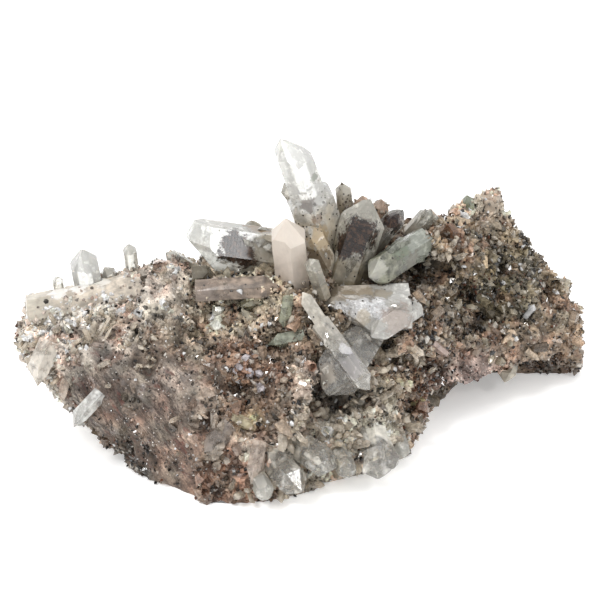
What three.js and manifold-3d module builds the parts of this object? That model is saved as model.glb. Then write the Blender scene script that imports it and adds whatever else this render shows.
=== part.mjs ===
// A himalayan quartz cluster: a broken piece of vein rock, crusted with druse, that carries quartz points
// of several habits. Millimetres, +X to the viewer's right, +Y away from the viewer, +Z up.
import * as THREE from "three";
import { ConvexGeometry } from "three/addons/geometries/ConvexGeometry.js";
import { ImprovedNoise } from "three/addons/math/ImprovedNoise.js";
import { mergeVertices } from "three/addons/utils/BufferGeometryUtils.js";
import Module from "manifold-3d";

const wasm = await Module();
wasm.setup();

// Quartz: the angle between a rhomb face's normal and the long axis, how uneven grown faces are as shares of the
// crystal's width, and the way that the face of a broken tip looks.
const RHOMB_TILT = THREE.MathUtils.degToRad(51.8);
const PRISM_UNEVEN = 0.16;
const RHOMB_UNEVEN = 0.07;
const MINOR_RHOMB_SETBACK = 0.05;
const BROKEN_TIP_NORMAL = [0.16, 0.1, 0.98];

// Rock surface: the longest edge left on it, and the two sizes of lumps that weather it. offset is where in the
// noise each is taken.
const ROCK_EDGE = 14;
const LUMPS = { span: 10, height: 2.2, offset: 31.7 };
const KNOBS = { span: 4.6, height: 0.9, offset: 57.3 };

// Every crystal sits in its own socket in the rock, this far from the walls.
const SOCKET_GAP = 0.3;

// How far the rock went on below the face that it was cut off at.
const BELOW_CUT = 5;

// Small crystals fused to the rock.
const FUSED_CRYSTALS = 12;
const FUSED_LENGTH = [3.5, 8];
const FUSED_SLIMNESS = [0.38, 0.62];
const FUSED_ROOT = 2.4;
const FUSED_CLEAR_OF_POINTS = 3.5;
const FUSED_LOWEST = 4;
const FUSED_LEAN = 0.3;
const FUSED_STEEPEST_DOWN = -0.3;
const FUSED_PLACES_SEED = 4;
const FUSED_FIRST_SHAPE = 200;

// A block larger than the whole cluster, and how near two corners count as one.
const BIG = 400;
const SAME_POINT = 1e-4;
const SAME_CORNER = 0.02;
const ROUNDING = 1e-6;

// The stream of repeatable numbers: each one is the last one times the factor, less whole primes.
const STREAM_PRIME = 2147483647;
const STREAM_FACTOR = 16807;
const STREAM_SEED_STEP = 7919;

// Corners of the rock's main blocks, before weathering: [across, away, up].
const ROCK_BLOCKS = {
  leftWing: [
    [-65, 0, 33], [-49, 5, 36], [-36, 8, 39], [-26, 10, 38], [-68, -5, 25], [-64, -9, 31], [-42, -6, 34],
    [-65, -9, 20], [-59, -16, 27], [-46, -22, 24], [-59, -10, 15], [-50, -16, 11], [-41, -23.5, 4.5],
    [-36.5, -26.5, 0], [-30, -29, 0], [-28, -32, 8], [-32, -28, 22], [-60, 10, 17], [-44, 20, 2], [-30, 24, 0],
    [-28, 20, 34], [-22, -20, 2],
  ],
  rib: [
    [-36, 4, 42], [-31, 5, 44], [-26, 5, 41], [-38, -4, 34], [-25, -6, 36], [-41, -14, 27], [-27, -20, 30],
    [-40, -22, 22], [-31, -29, 19], [-36, 0, 12], [-26, -8, 12], [-33, -16, 33],
  ],
  frontShield: [
    [-25, -14, 32], [-14, -11, 34], [-4, -13, 32], [3, -14, 29], [-31, -28, 23], [3, -26, 20], [0, -31, 10],
    [-25, -34, 14], [-22, -39, 0], [-10, -38, 0], [0, -33, 0], [-31, -29, 0], [-22, -4, 8], [4, -8, 8],
  ],
  shieldRim: [
    [3.6, -22, 31], [2, -28, 27], [1, -31, 20.5], [-3, -34, 16.5], [-4, -16, 28], [5, -16, 26], [-6, -26, 12],
    [4, -24, 12],
  ],
  frontFoot: [
    [-12, -33, 8], [2, -32, 0], [11, -27, 0], [20, -24, 0], [27, -17, 0], [23, -22, 8], [10, -28, 12],
    [-10, -20, 20], [18, -16, 18], [30, -10, 9], [31, -9, 1],
  ],
  middle: [
    [-26, -6, 34], [-10, -3, 36], [3, -10, 35], [12, -8, 33], [24, -6, 25], [30, 6, 31], [36, 20, 38],
    [26, 26, 41], [0, 22, 41], [-24, 18, 39], [30, -8, 0], [-20, -28, 0], [-24, 28, 2], [30, 32, 4],
    [20, -18, 15], [32, -6, 12],
  ],
  mound: [
    [-24, -4, 36.5], [-14, -6, 39.5], [-2, -7, 40.5], [6, -6, 39], [8, 5, 39.5], [-6, 8, 41], [-20, 8, 40],
    [-22, -8, 30], [8, -12, 30], [14, 0, 36], [-4, -14, 32],
  ],
  wingShoulder: [
    [30, 16, 40], [31, 12, 44], [38, 13, 43.5], [45, 18, 42], [47, 24, 42], [34, 26, 43], [33, 9, 38],
    [45, 11, 33], [28, 20, 36], [40, 24, 34],
  ],
  wingFoot: [
    [27, -6, 36.5], [28, 2, 36.8], [34, 1, 35.5], [40, 10, 34.5], [29, -11, 29], [24, -12, 25], [38, 12, 33],
    [28, 8, 30], [40, 4, 22], [26, -4, 26], [34, -6, 22],
  ],
  rightWing: [
    [36, 30, 43], [26, 27, 39], [46, 33, 45], [52.5, 32, 40], [60, 30, 27], [69, 28, 22], [73, 23, 16],
    [73, 18, 10], [66, 15.5, 9.5], [56, 14.5, 12], [47, 12, 12], [38, 5, 11], [33, -5, 10], [28, -9, 15],
    [43, 2, 15], [50, 5, 18], [33, -4, 22], [27, 2, 30], [62, 36, 14], [48, 42, 20], [34, 40, 24],
  ],
  innerKeel: [
    [28, -8, 0], [33, 3, 0], [40, 18, 0], [34, 36, 0], [20, 30, 0], [20, 0, 0], [40, 14, 9], [30, 26, 20],
  ],
  outerKeel: [
    [42, 23, 0], [48, 25, 0], [61, 21, 0], [72, 20, 1.5], [66, 34, 0], [38, 36, 0], [43, 19, 10], [71, 19, 9],
    [58, 36, 14], [36, 30, 16],
  ],
  back: [
    [-40, 22, 0], [-34, 16, 33], [-10, 30, 34], [-12, 40, 14], [-14, 41, 0], [16, 40, 26], [22, 43, 8],
    [24, 42, 0], [44, 38, 12], [40, 36, 0], [10, 20, 41], [-6, 6, 20],
  ],
};

// Hollows taken out of the rock: centre, radii and turn about the up axis in degrees.
const ROCK_HOLLOWS = {
  caveUnderGreyPoint: { centre: [8, -23, 18.5], radii: [5.5, 8, 4.6], turn: 0 },
  frontBasin: { centre: [-13, -39, 34], radii: [15, 21, 19], turn: 4 },
  valleyBehindShield: { centre: [-15, -8, 38], radii: [9, 3.6, 5.5], turn: 6 },
  cleftByGreenPoint: { centre: [34, 8, 36], radii: [6.5, 4.5, 4.5], turn: 30 },
  pitInRightWing: { centre: [54, 16, 29], radii: [4.5, 4, 3], turn: 20 },
  pitInLeftWing: { centre: [-46.5, -21, 28], radii: [2.6, 3, 3], turn: 0 },
};

// The quartz points. tip and root are [across, away, up], width is across the prism's flats at the root, taper
// is the share of it lost by the tip, turn spins it about its long axis in degrees, peak is how far the tip stands
// off that axis, and blunt breaks off that length. Points of the same name have grown together into one piece.
const POINTS = [
  { name: "tall_clear_point", quartz: "clear", seed: 3, tip: [-4.6, 6, 75.2], root: [8.6, 13, 37], width: 9.8,
    taper: 0.16, turn: 12, peak: [-2.2, 0, 0.2] },
  { name: "tall_clear_point", quartz: "milky", seed: 5, tip: [1, 7.6, 64.6], root: [8.8, 13, 36], width: 11.4,
    turn: 14, blunt: 2.6 },
  { name: "speckled_point", quartz: "milky", seed: 8, tip: [11, 16, 57.8], root: [12.4, 18.5, 39], width: 4.3,
    turn: 5 },
  { name: "phantom_point", quartz: "smoky", seed: 11, tip: [17.8, 9, 58], root: [10.2, 4, 33], width: 10.6,
    turn: 22 },
  { name: "shoulder_point", quartz: "milky", seed: 9, tip: [16, 16, 54.6], root: [16.4, 15, 41], width: 5.4,
    turn: 17 },
  { name: "shoulder_point", quartz: "milky", seed: 10, tip: [20.8, 17, 53], root: [18.6, 16, 41], width: 4.4,
    turn: 9 },
  { name: "tall_clear_point", quartz: "smoky", seed: 12, tip: [2, 2.6, 53.4], root: [8.6, 5.5, 38], width: 6.4,
    turn: 6 },
  { name: "smoky_point", quartz: "smoky", seed: 14, tip: [26.4, 14, 51.8], root: [18, 11, 42], width: 5, turn: 10 },
  { name: "pale_point", quartz: "clear", seed: 17, tip: [33.6, 20, 48.4], root: [28, 20, 41], width: 4.4 },
  { name: "green_point", quartz: "green", seed: 21, tip: [16.8, -4, 41.6], root: [31, 14, 42], width: 7,
    turn: 25 },
  { name: "flat_faced_point", quartz: "clear", seed: 23, tip: [4.6, -4, 35.4], root: [27, -3, 33], width: 12.2,
    turn: 54, peak: [0, 1, 2.4] },
  { name: "flat_faced_point", quartz: "milky", seed: 36, tip: [17, -14.6, 31.6], root: [28.4, -4, 34], width: 5.6,
    turn: 18 },
  { name: "grey_point", quartz: "milky", seed: 27, tip: [6.4, -24.6, 21.4], root: [15.4, -6, 26.5], width: 12,
    turn: 14 },
  { name: "grey_point", quartz: "milky", seed: 31, tip: [0.9, -9.5, 41.8], root: [6.8, -13.2, 33.6], width: 3.6,
    turn: 8 },
  { name: "grey_point", quartz: "milky", seed: 33, tip: [17.6, -26, 23.6], root: [5.4, -14, 35.6], width: 5,
    turn: 14 },
  { name: "milky_point", quartz: "milky", seed: 39, tip: [-2.7, -2, 58], root: [-0.9, 0.8, 35], width: 8.8 },
  { name: "little_clear_point", quartz: "clear", seed: 41, tip: [3, -7, 49.4], root: [6.2, -3.6, 37], width: 4,
    turn: 10 },
  { name: "broad_clear_point", quartz: "clear", seed: 44, tip: [-29.6, 3.4, 50.6], root: [-3, 9, 41], width: 12.6,
    turn: 22, peak: [-0.6, 0.5, 2.2], blunt: 3 },
  { name: "broad_clear_point", quartz: "smoky", seed: 47, tip: [-11.5, 14, 48.8], root: [-9.4, 15, 36], width: 5.6,
    turn: 20 },
  { name: "ridge_point", quartz: "milky", seed: 50, tip: [-3.6, -7, 41.6], root: [-24, -5, 39], width: 5.6, turn: 24 },
  { name: "smoky_stub", quartz: "smoky", seed: 52, tip: [-25.4, -2, 44.6], root: [-20, 0, 37], width: 4.8, turn: 4 },
  { name: "tilted_sliver", quartz: "clear", seed: 54, tip: [-32.2, 6, 43.8], root: [-24.6, 8, 37], width: 3.2,
    turn: 16 },
  { name: "left_nib", quartz: "clear", seed: 57, tip: [-58, 1, 40.3], root: [-57.2, 1.5, 31], width: 2.8, turn: 6 },
  { name: "left_broad_point", quartz: "clear", seed: 60, tip: [-52, 3, 47], root: [-50, 4, 31], width: 7.4,
    turn: 10 },
  { name: "left_slim_point", quartz: "clear", seed: 63, tip: [-40.8, 7, 45.8], root: [-40, 8, 34], width: 3.8,
    turn: 12 },
  { name: "left_low_point", quartz: "clear", seed: 66, tip: [-46.8, 4, 41], root: [-44, 6, 34], width: 3.4 },
  { name: "slab_crystal", quartz: "milky", seed: 69, tip: [-70.4, -6.4, 31.8], root: [-38, 3, 35], width: 9,
    turn: 30, blunt: 6 },
  { name: "ledge_crystal", quartz: "milky", seed: 72, tip: [-66, -13.5, 25.5], root: [-56, -8.5, 17.5], width: 6,
    turn: 16 },
  { name: "underside_point", quartz: "clear", seed: 75, tip: [-54, -19.5, 9.6], root: [-47, -13, 14.5], width: 5,
    turn: 8 },
  { name: "foot_slab_point", quartz: "milky", seed: 78, tip: [9.4, -38.5, 9.8], root: [-1.4, -25, 9.4], width: 7.6,
    turn: 20 },
  { name: "foot_front_point", quartz: "milky", seed: 81, tip: [1.6, -42, 5.6], root: [-8, -27, 9], width: 7.4,
    turn: 10 },
  { name: "foot_small_point", quartz: "clear", seed: 83, tip: [12.6, -37, 6.4], root: [8.6, -24, 9], width: 4.6,
    turn: 12 },
  { name: "foot_clear_point", quartz: "clear", seed: 84, tip: [19.6, -35.6, 4.6], root: [18, -20, 9], width: 6.6,
    turn: 6 },
  { name: "foot_clear_point", quartz: "clear", seed: 85, tip: [23, -33.4, 6.6], root: [19, -20, 8.6], width: 4.4,
    turn: 15 },
  { name: "foot_right_point", quartz: "clear", seed: 87, tip: [25.6, -24.6, 3.4], root: [23, -12, 6], width: 4.6,
    turn: 18 },
  { name: "foot_chip", quartz: "clear", seed: 90, tip: [-6.6, -44, 5], root: [-10.4, -32, 6.4], width: 4.4, turn: 6 },
  { name: "rim_nub", quartz: "clear", seed: 93, tip: [70.4, 30, 23], root: [62, 27, 16.5], width: 6, turn: 16 },
  { name: "rim_low_nub", quartz: "green", seed: 96, tip: [73.6, 22, 12], root: [66, 21, 11], width: 4.6, turn: 4 },
  { name: "hanging_point", quartz: "clear", seed: 99, tip: [51.8, 8, 4.4], root: [55, 18, 10], width: 4.2, turn: 12 },
  { name: "peak_point", quartz: "milky", seed: 102, tip: [51.2, 34, 47.4], root: [46, 33, 37], width: 6.4,
    turn: 24 },
  { name: "green_nib", quartz: "green", seed: 105, tip: [42.4, 30, 47], root: [43.6, 31, 39], width: 3, turn: 8 },
  { name: "back_left_point", quartz: "clear", seed: 108, tip: [-25.4, 40, 22.6], root: [-17, 28.6, 18], width: 8.6,
    turn: 8 },
  { name: "back_middle_point", quartz: "milky", seed: 111, tip: [5, 52, 25], root: [4, 34, 21], width: 8.4,
    turn: 14 },
  { name: "back_middle_point", quartz: "milky", seed: 112, tip: [12, 46.4, 16.6], root: [6, 34, 17.8], width: 5.4,
    turn: 3 },
  { name: "back_middle_point", quartz: "milky", seed: 113, tip: [-1, 44, 30.6], root: [3, 33, 23.6], width: 4.6,
    turn: 9 },
  { name: "back_right_point", quartz: "clear", seed: 114, tip: [29, 45.4, 26], root: [26.6, 32, 20], width: 5.4,
    turn: 2 },
  { name: "back_wing_point", quartz: "clear", seed: 120, tip: [-47, 25, 20], root: [-39, 14, 14.6], width: 5,
    turn: 10 },
  { name: "back_wing_point", quartz: "clear", seed: 121, tip: [-41.4, 30.4, 9], root: [-37, 16, 12], width: 6.4,
    turn: 31 },
  { name: "back_corner_point", quartz: "milky", seed: 123, tip: [57, 44.6, 14.6], root: [49, 33.6, 11.6], width: 4.8,
    turn: 10 },
];

const QUARTZ_LOOKS = {
  clear: { color: 0xe6e5df, roughness: 0.08 },
  milky: { color: 0xcfc6bf, roughness: 0.28 },
  smoky: { color: 0x77675d, roughness: 0.15 },
  green: { color: 0xa9b19c, roughness: 0.25 },
};
const ROCK_LOOK = { color: 0x8d7b70, roughness: 0.85 };

// A repeatable stream of numbers from 0 to 1.
function stream(seed) {
  let state = (seed + 1) * STREAM_SEED_STEP;
  return () => {
    state = (state * STREAM_FACTOR) % STREAM_PRIME;
    return state / STREAM_PRIME;
  };
}

function between([low, high], share) {
  return low + (high - low) * share;
}

// The corners where three of the planes meet that no other plane cuts off. A plane is [normal, distance].
function cornersOf(planes) {
  const corners = [];
  const system = new THREE.Matrix3();
  for (let i = 0; i < planes.length; i++)
    for (let j = i + 1; j < planes.length; j++)
      for (let k = j + 1; k < planes.length; k++) {
        const three = [planes[i], planes[j], planes[k]];
        system.set(...three.flatMap(([normal]) => normal.toArray()));
        if (Math.abs(system.determinant()) < ROUNDING) continue;
        const corner = new THREE.Vector3(...three.map(([, distance]) => distance));
        corner.applyMatrix3(system.clone().invert());
        const kept = planes.every(([normal, distance]) => normal.dot(corner) < distance + ROUNDING);
        if (kept && corners.every((other) => other.distanceTo(corner) > SAME_CORNER)) corners.push(corner);
      }
  return corners;
}

// A quartz crystal along +Z from its root at the origin: six prism faces, three large and three small rhomb
// faces at the tip, all a little uneven, as grown. peak is where the tip stands, seen along the crystal, and
// extra moves every face out, for the crystal's socket.
function quartzGeometry({ length, width, seed, taper = 0, blunt = 0 }, peak, extra) {
  const random = stream(seed);
  const planes = [[new THREE.Vector3(0, 0, -1), extra]];
  for (let side = 0; side < 6; side++) {
    const around = (side * Math.PI) / 3;
    const outward = new THREE.Vector3(Math.cos(around), Math.sin(around), 0);
    const apothem = (width / 2) * (1 - PRISM_UNEVEN * random());
    planes.push([outward, apothem + extra]);
    const rhomb = outward.clone().multiplyScalar(Math.sin(RHOMB_TILT)).setZ(Math.cos(RHOMB_TILT));
    const setback = width * (RHOMB_UNEVEN * random() + (side % 2) * MINOR_RHOMB_SETBACK);
    planes.push([rhomb, length * Math.cos(RHOMB_TILT) + rhomb.dot(peak) - setback + extra]);
  }
  if (blunt) planes.push([new THREE.Vector3(...BROKEN_TIP_NORMAL).normalize(), length - blunt + extra]);
  const corners = cornersOf(planes);
  for (const corner of corners) {
    const narrowing = 1 - (taper * corner.z) / length;
    corner.x *= narrowing;
    corner.y *= narrowing;
  }
  return new ConvexGeometry(corners);
}

// A crystal in its place: its long axis runs from the root to the foot of its peak.
function pointGeometry({ root, tip, turn = 0, peak = [0, 0, 0], ...shape }, extra = 0) {
  const offAxis = new THREE.Vector3(...peak);
  const along = new THREE.Vector3(...tip).sub(offAxis).sub(new THREE.Vector3(...root));
  const length = along.length();
  const aim = new THREE.Quaternion().setFromUnitVectors(new THREE.Vector3(0, 0, 1), along.normalize());
  const spin = new THREE.Quaternion().setFromAxisAngle(new THREE.Vector3(0, 0, 1), THREE.MathUtils.degToRad(turn));
  const pose = aim.multiply(spin);
  const localPeak = offAxis.applyQuaternion(pose.clone().invert());
  return quartzGeometry({ ...shape, length }, localPeak, extra).applyQuaternion(pose).translate(...root);
}

// Between three.js geometry and a closed solid that can be joined and cut.
function toSolid(geometry) {
  const whole = merged(geometry);
  return new wasm.Manifold(
    new wasm.Mesh({
      numProp: 3,
      vertProperties: new Float32Array(whole.attributes.position.array),
      triVerts: new Uint32Array(whole.index.array),
    }),
  );
}

function merged(geometry) {
  const bare = geometry.clone();
  for (const name of Object.keys(bare.attributes)) if (name !== "position") bare.deleteAttribute(name);
  return mergeVertices(bare, SAME_POINT);
}

function toGeometry(solid) {
  const { vertProperties, triVerts } = solid.getMesh();
  const geometry = new THREE.BufferGeometry();
  geometry.setAttribute("position", new THREE.BufferAttribute(vertProperties, 3));
  geometry.setIndex(new THREE.BufferAttribute(triVerts, 1));
  return geometry;
}

function joined(solids) {
  return solids.reduce((whole, next) => whole.add(next));
}

function cut(solid, tools) {
  return tools.reduce((rest, tool) => rest.subtract(tool), solid);
}

// The largest body of a solid: cutting sockets can leave loose crumbs.
function mainBody(solid) {
  return solid.decompose().sort((a, b) => b.volume() - a.volume())[0];
}

// Splits every edge longer than longest at its middle, until none is left.
function splitLongEdges(geometry, longest) {
  const points = geometry.attributes.position;
  const corners = Array.from({ length: points.count }, (_, i) => new THREE.Vector3().fromBufferAttribute(points, i));
  let faces = [];
  for (let i = 0; i < geometry.index.count; i += 3) faces.push([0, 1, 2].map((k) => geometry.index.getX(i + k)));
  for (let split = true; split; ) {
    split = false;
    const middles = new Map();
    const middleOf = (a, b) => {
      if (corners[a].distanceTo(corners[b]) <= longest) return -1;
      const key = a < b ? `${a} ${b}` : `${b} ${a}`;
      if (!middles.has(key)) middles.set(key, corners.push(corners[a].clone().lerp(corners[b], 0.5)) - 1);
      split = true;
      return middles.get(key);
    };
    faces = faces.flatMap(([a, b, c]) => splitFace([a, b, c], [middleOf(a, b), middleOf(b, c), middleOf(c, a)]));
  }
  const made = new THREE.BufferGeometry().setFromPoints(corners);
  return made.setIndex(faces.flat());
}

// The faces that one triangle becomes, given the new points on its edges, or -1 where an edge stays whole.
function splitFace([a, b, c], [ab, bc, ca]) {
  const count = [ab, bc, ca].filter((middle) => middle >= 0).length;
  if (count === 0) return [[a, b, c]];
  if (count === 3) return [[a, ab, ca], [ab, b, bc], [ca, bc, c], [ab, bc, ca]];
  if (count === 1) {
    if (ab >= 0) return [[a, ab, c], [ab, b, c]];
    if (bc >= 0) return [[a, b, bc], [a, bc, c]];
    return [[a, b, ca], [ca, b, c]];
  }
  if (ab < 0) return [[a, b, bc], [a, bc, ca], [ca, bc, c]];
  if (bc < 0) return [[b, c, ca], [b, ca, ab], [ab, ca, a]];
  return [[c, a, ab], [c, ab, bc], [bc, ab, b]];
}

// Moves every point by smooth noise, so that flat broken faces become lumpy rock.
function weathered(geometry) {
  const noise = new ImprovedNoise();
  const shift = (p, { span, height, offset }) =>
    new THREE.Vector3(
      noise.noise(p.x / span + offset, p.y / span, p.z / span),
      noise.noise(p.x / span, p.y / span + offset, p.z / span),
      noise.noise(p.x / span, p.y / span, p.z / span + offset),
    ).multiplyScalar(height);
  const points = geometry.attributes.position;
  for (let i = 0; i < points.count; i++) {
    const p = new THREE.Vector3().fromBufferAttribute(points, i);
    p.add(shift(p, LUMPS)).add(shift(p, KNOBS));
    points.setXYZ(i, p.x, p.y, p.z);
  }
  return geometry;
}

function hollowSolid({ centre, radii, turn }) {
  const geometry = new THREE.IcosahedronGeometry(1, 1).scale(...radii);
  geometry.rotateZ(THREE.MathUtils.degToRad(turn)).translate(...centre);
  return rockSolid(geometry);
}

// A block's corners at height 0 are carried on below it, so that the cut face is flat from edge to edge.
function blockSolid(corners) {
  const base = corners.filter(([, , up]) => up === 0).map(([across, away]) => [across, away, -BELOW_CUT]);
  return rockSolid(new ConvexGeometry([...corners, ...base].map((corner) => new THREE.Vector3(...corner))));
}

function rockSolid(geometry) {
  return toSolid(weathered(splitLongEdges(merged(geometry), ROCK_EDGE)));
}

// Everything below the cut face that the cluster rests on.
function belowFloor() {
  return toSolid(new THREE.BoxGeometry(BIG, BIG, BIG).translate(0, 0, -BIG / 2));
}

function rockBody() {
  const blocks = joined(Object.values(ROCK_BLOCKS).map(blockSolid));
  const hollows = Object.values(ROCK_HOLLOWS).map(hollowSolid);
  return mainBody(cut(blocks, [...hollows, belowFloor()]));
}

// The middle, normal and area of every face of a solid.
function facesOf(solid) {
  const corners = toGeometry(solid).toNonIndexed().attributes.position;
  const faces = [];
  for (let i = 0; i < corners.count; i += 3) {
    const face = new THREE.Triangle().setFromAttributeAndIndices(corners, i, i + 1, i + 2);
    const middle = face.getMidpoint(new THREE.Vector3());
    faces.push({ middle, normal: face.getNormal(new THREE.Vector3()), area: face.getArea() });
  }
  return faces;
}

function clearOfPoints(place) {
  return POINTS.every(({ root, tip, width }) => {
    const axis = new THREE.Line3(new THREE.Vector3(...root), new THREE.Vector3(...tip));
    const nearest = axis.closestPointToPoint(place, true, new THREE.Vector3());
    return nearest.distanceTo(place) > width / 2 + FUSED_CLEAR_OF_POINTS;
  });
}

// Small crystals that grow out of the rock where no named point stands, leaning at random from its surface.
function fusedCrystals(rock) {
  const random = stream(FUSED_PLACES_SEED);
  const spread = () => 2 * FUSED_LEAN * (random() - 0.5);
  const faces = facesOf(rock);
  const total = faces.reduce((sum, { area }) => sum + area, 0);
  const made = [];
  while (made.length < FUSED_CRYSTALS) {
    let left = random() * total;
    const { middle, normal } = faces.find(({ area }) => (left -= area) <= 0) ?? faces[0];
    const axis = normal.clone().add(new THREE.Vector3(spread(), spread(), spread())).normalize();
    const length = between(FUSED_LENGTH, random());
    const width = length * between(FUSED_SLIMNESS, random());
    if (middle.z < FUSED_LOWEST || axis.z < FUSED_STEEPEST_DOWN || !clearOfPoints(middle)) continue;
    const root = middle.clone().addScaledVector(axis, -FUSED_ROOT).toArray();
    const tip = middle.clone().addScaledVector(axis, length - FUSED_ROOT).toArray();
    made.push(toSolid(pointGeometry({ root, tip, width, seed: FUSED_FIRST_SHAPE + made.length })));
  }
  return made;
}

// Adds a named mesh to the group, shaded flat, as broken and grown faces are.
function addPiece(group, name, solid, { color, roughness }) {
  const material = new THREE.MeshStandardMaterial({ color, roughness, metalness: 0, flatShading: true });
  const mesh = new THREE.Mesh(toGeometry(solid), material);
  mesh.name = name;
  group.add(mesh);
}

// Moves the pieces so that the origin is in the middle of their underside.
function stoodOnOrigin(pieces) {
  const box = new THREE.Box3().setFromObject(pieces);
  const middle = box.getCenter(new THREE.Vector3());
  pieces.position.set(-middle.x, -middle.y, -box.min.z);
  return new THREE.Group().add(pieces);
}

function cluster() {
  const group = new THREE.Group();
  const sockets = [];
  for (const name of new Set(POINTS.map((point) => point.name))) {
    const grown = POINTS.filter((point) => point.name === name);
    const solid = joined(grown.map((point) => toSolid(pointGeometry(point))));
    addPiece(group, name, mainBody(cut(solid, [...sockets, belowFloor()])), QUARTZ_LOOKS[grown[0].quartz]);
    sockets.push(...grown.map((point) => toSolid(pointGeometry(point, SOCKET_GAP))));
  }
  const body = rockBody();
  const crusted = joined([body, ...fusedCrystals(body)]);
  addPiece(group, "rock_matrix", mainBody(cut(crusted, [...sockets, belowFloor()])), ROCK_LOOK);
  return stoodOnOrigin(group);
}

export default cluster();
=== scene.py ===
"""The look of a himalayan quartz cluster: druse-crusted vein rock with quartz points of several habits."""
import math
from dataclasses import dataclass

import bpy
import numpy as np
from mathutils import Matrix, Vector, noise
from mathutils.bvhtree import BVHTree


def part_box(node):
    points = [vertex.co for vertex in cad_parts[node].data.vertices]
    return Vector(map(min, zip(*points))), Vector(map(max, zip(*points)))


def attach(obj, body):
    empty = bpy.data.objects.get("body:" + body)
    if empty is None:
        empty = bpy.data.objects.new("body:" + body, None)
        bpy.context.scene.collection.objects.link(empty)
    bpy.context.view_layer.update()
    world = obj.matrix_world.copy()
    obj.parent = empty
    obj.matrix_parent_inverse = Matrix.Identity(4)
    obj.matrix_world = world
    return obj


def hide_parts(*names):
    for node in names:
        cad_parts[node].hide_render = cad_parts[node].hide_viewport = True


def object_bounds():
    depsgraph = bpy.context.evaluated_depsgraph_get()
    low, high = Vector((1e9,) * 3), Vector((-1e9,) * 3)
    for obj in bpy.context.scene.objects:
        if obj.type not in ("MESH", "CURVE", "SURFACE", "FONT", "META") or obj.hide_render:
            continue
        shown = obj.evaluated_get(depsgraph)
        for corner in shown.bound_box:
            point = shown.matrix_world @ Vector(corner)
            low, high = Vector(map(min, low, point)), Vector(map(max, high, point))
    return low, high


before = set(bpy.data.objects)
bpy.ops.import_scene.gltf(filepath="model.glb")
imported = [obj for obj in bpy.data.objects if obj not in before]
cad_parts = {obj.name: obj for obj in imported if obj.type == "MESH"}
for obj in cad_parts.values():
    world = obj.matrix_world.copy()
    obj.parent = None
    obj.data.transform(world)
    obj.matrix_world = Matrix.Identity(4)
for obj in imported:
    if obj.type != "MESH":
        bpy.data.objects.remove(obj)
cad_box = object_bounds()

MM = 0.001

# Camera: it looks down at the cluster from the front. Pixels are the photograph's, from its upper left corner.
LOOK_AT = Vector((-1.435, -3.723, 33.7)) * MM
CAMERA_AWAY = 600 * MM
CAMERA_PITCH = math.radians(30)
PIXEL = 0.2422 * MM
IMAGE_SIDE = 600
SENSOR = 36.0
VIEW = Vector((0, math.cos(CAMERA_PITCH), -math.sin(CAMERA_PITCH)))
VIEW_UP = Vector((0, math.sin(CAMERA_PITCH), math.cos(CAMERA_PITCH)))
EYE = LOOK_AT - CAMERA_AWAY * VIEW

# Lamps: place and size in metres, power in watts.
LAMPS = {
    "key": ((-0.45, -0.35, 0.75), 0.2, 3.4),
    "fill": ((0.55, -0.4, 0.6), 0.12, 1.0),
}
WORLD_BRIGHT_SIDE = (0, 0.5, 0.86)
WORLD_BRIGHT_FROM = 0.6
WORLD_DARKEST = 0.45
WORLD_STRENGTH = 1.25
FLOOR_REACH = 3.0

# Rock relief: voxel size, rounds of smoothing, and kinds of lump as (span, height) in mm.
ROCK_VOXEL = 0.62 * MM
ROCK_WELD = 0.001 * MM
SMOOTHING_ROUNDS = 5
SMOOTHING_STEP = 0.5
BULGES = (9.0, 0.9)
LUMPS = (4.6, 2.0)
KNOBS = (2.0, 1.0)
FINE = (0.75, 0.3)
DOME_STEEPNESS = 1.35
DOME_MIDDLE = 0.42
PITS = (6.5, 3.2)
PIT_THRESHOLD = 0.2
PIT_EDGE = 0.3
VEIN_RIDGES = (1.3, 0.5)
VEIN_STEPS = (4.5, 1.3)
VEIN_STEP_EDGE = 0.12
VEIN_GRAIN = Vector((0.62, -0.25, -0.74))
VEIN_STRETCH = 0.8
BARE_LUMPS = 0.4
BARE_FINE = 0.6
FLOOR_CLEARANCE = 0.3
FLOOR_FADE = 2.0
RIM_HEIGHT = 1.0

# Crust colours: patches as (span in mm, strength). Colours are sRGB, 0 to 255.
PATCHES = (3.2, 1.1)
TINT_PATCHES = (4.5, 0.8)
TINT_FROM = 0.08
MOST_TINT = 0.45
# How far the crust's colour is darkened in its pits: painted shade, on top of the sunken relief.
PIT_PAINTED_SHADE = 0.6
RUST = (122, 88, 72)
GREY_GREEN = (126, 125, 112)
REGION_WOBBLE = (4.0, 0.45)
PLAIN_SHARE = 0.25
PLAIN_SPECKS = 0.2
MINERAL = (34, 28, 24)

# Druse: low grains are bare six-sided tips, tall ones have a prism below. Lengths in mm; slimness is width
# over length.
DRUSE_SEED = 11
LOW_GRAINS = 52000
LOW_LENGTH = (0.5, 1.3)
LOW_SLIMNESS = (0.9, 1.7)
TALL_GRAINS = 9000
TALL_LENGTH = (1.0, 2.2)
TALL_SLIMNESS = (0.6, 0.95)
DRUSE_LEAN = 0.4
DRUSE_ROOT = 0.3
CLUMP_SPAN = 3.1
FOOT_GRAINS = 26000
FOOT_REACH = 1.3
FOOT_DEPTH = 0.6
FOOT_PALER = 1.15
CRUST_REACHES = {
    "slab_crystal": 3.0,
    "ledge_crystal": 2.6,
    "ridge_point": 2.6,
    "speckled_point": 9.0,
    "shoulder_point": 9.0,
    "peak_point": 9.0,
    "rim_nub": 3.0,
    "rim_low_nub": 3.0,
}
LOWEST_GRAIN = 0.5
LOWEST_POINT = 1.5
CLEAR_OF_POINTS = 0.1
RHOMB_RISE = 0.62
UNEVEN_SIDES = 0.3
UNEVEN_SHOULDER = 0.22
SHOULDER_LIMITS = (0.12, 0.94)
TIP_OFF = 0.5
LOWEST_CORNER = 0.05

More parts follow.
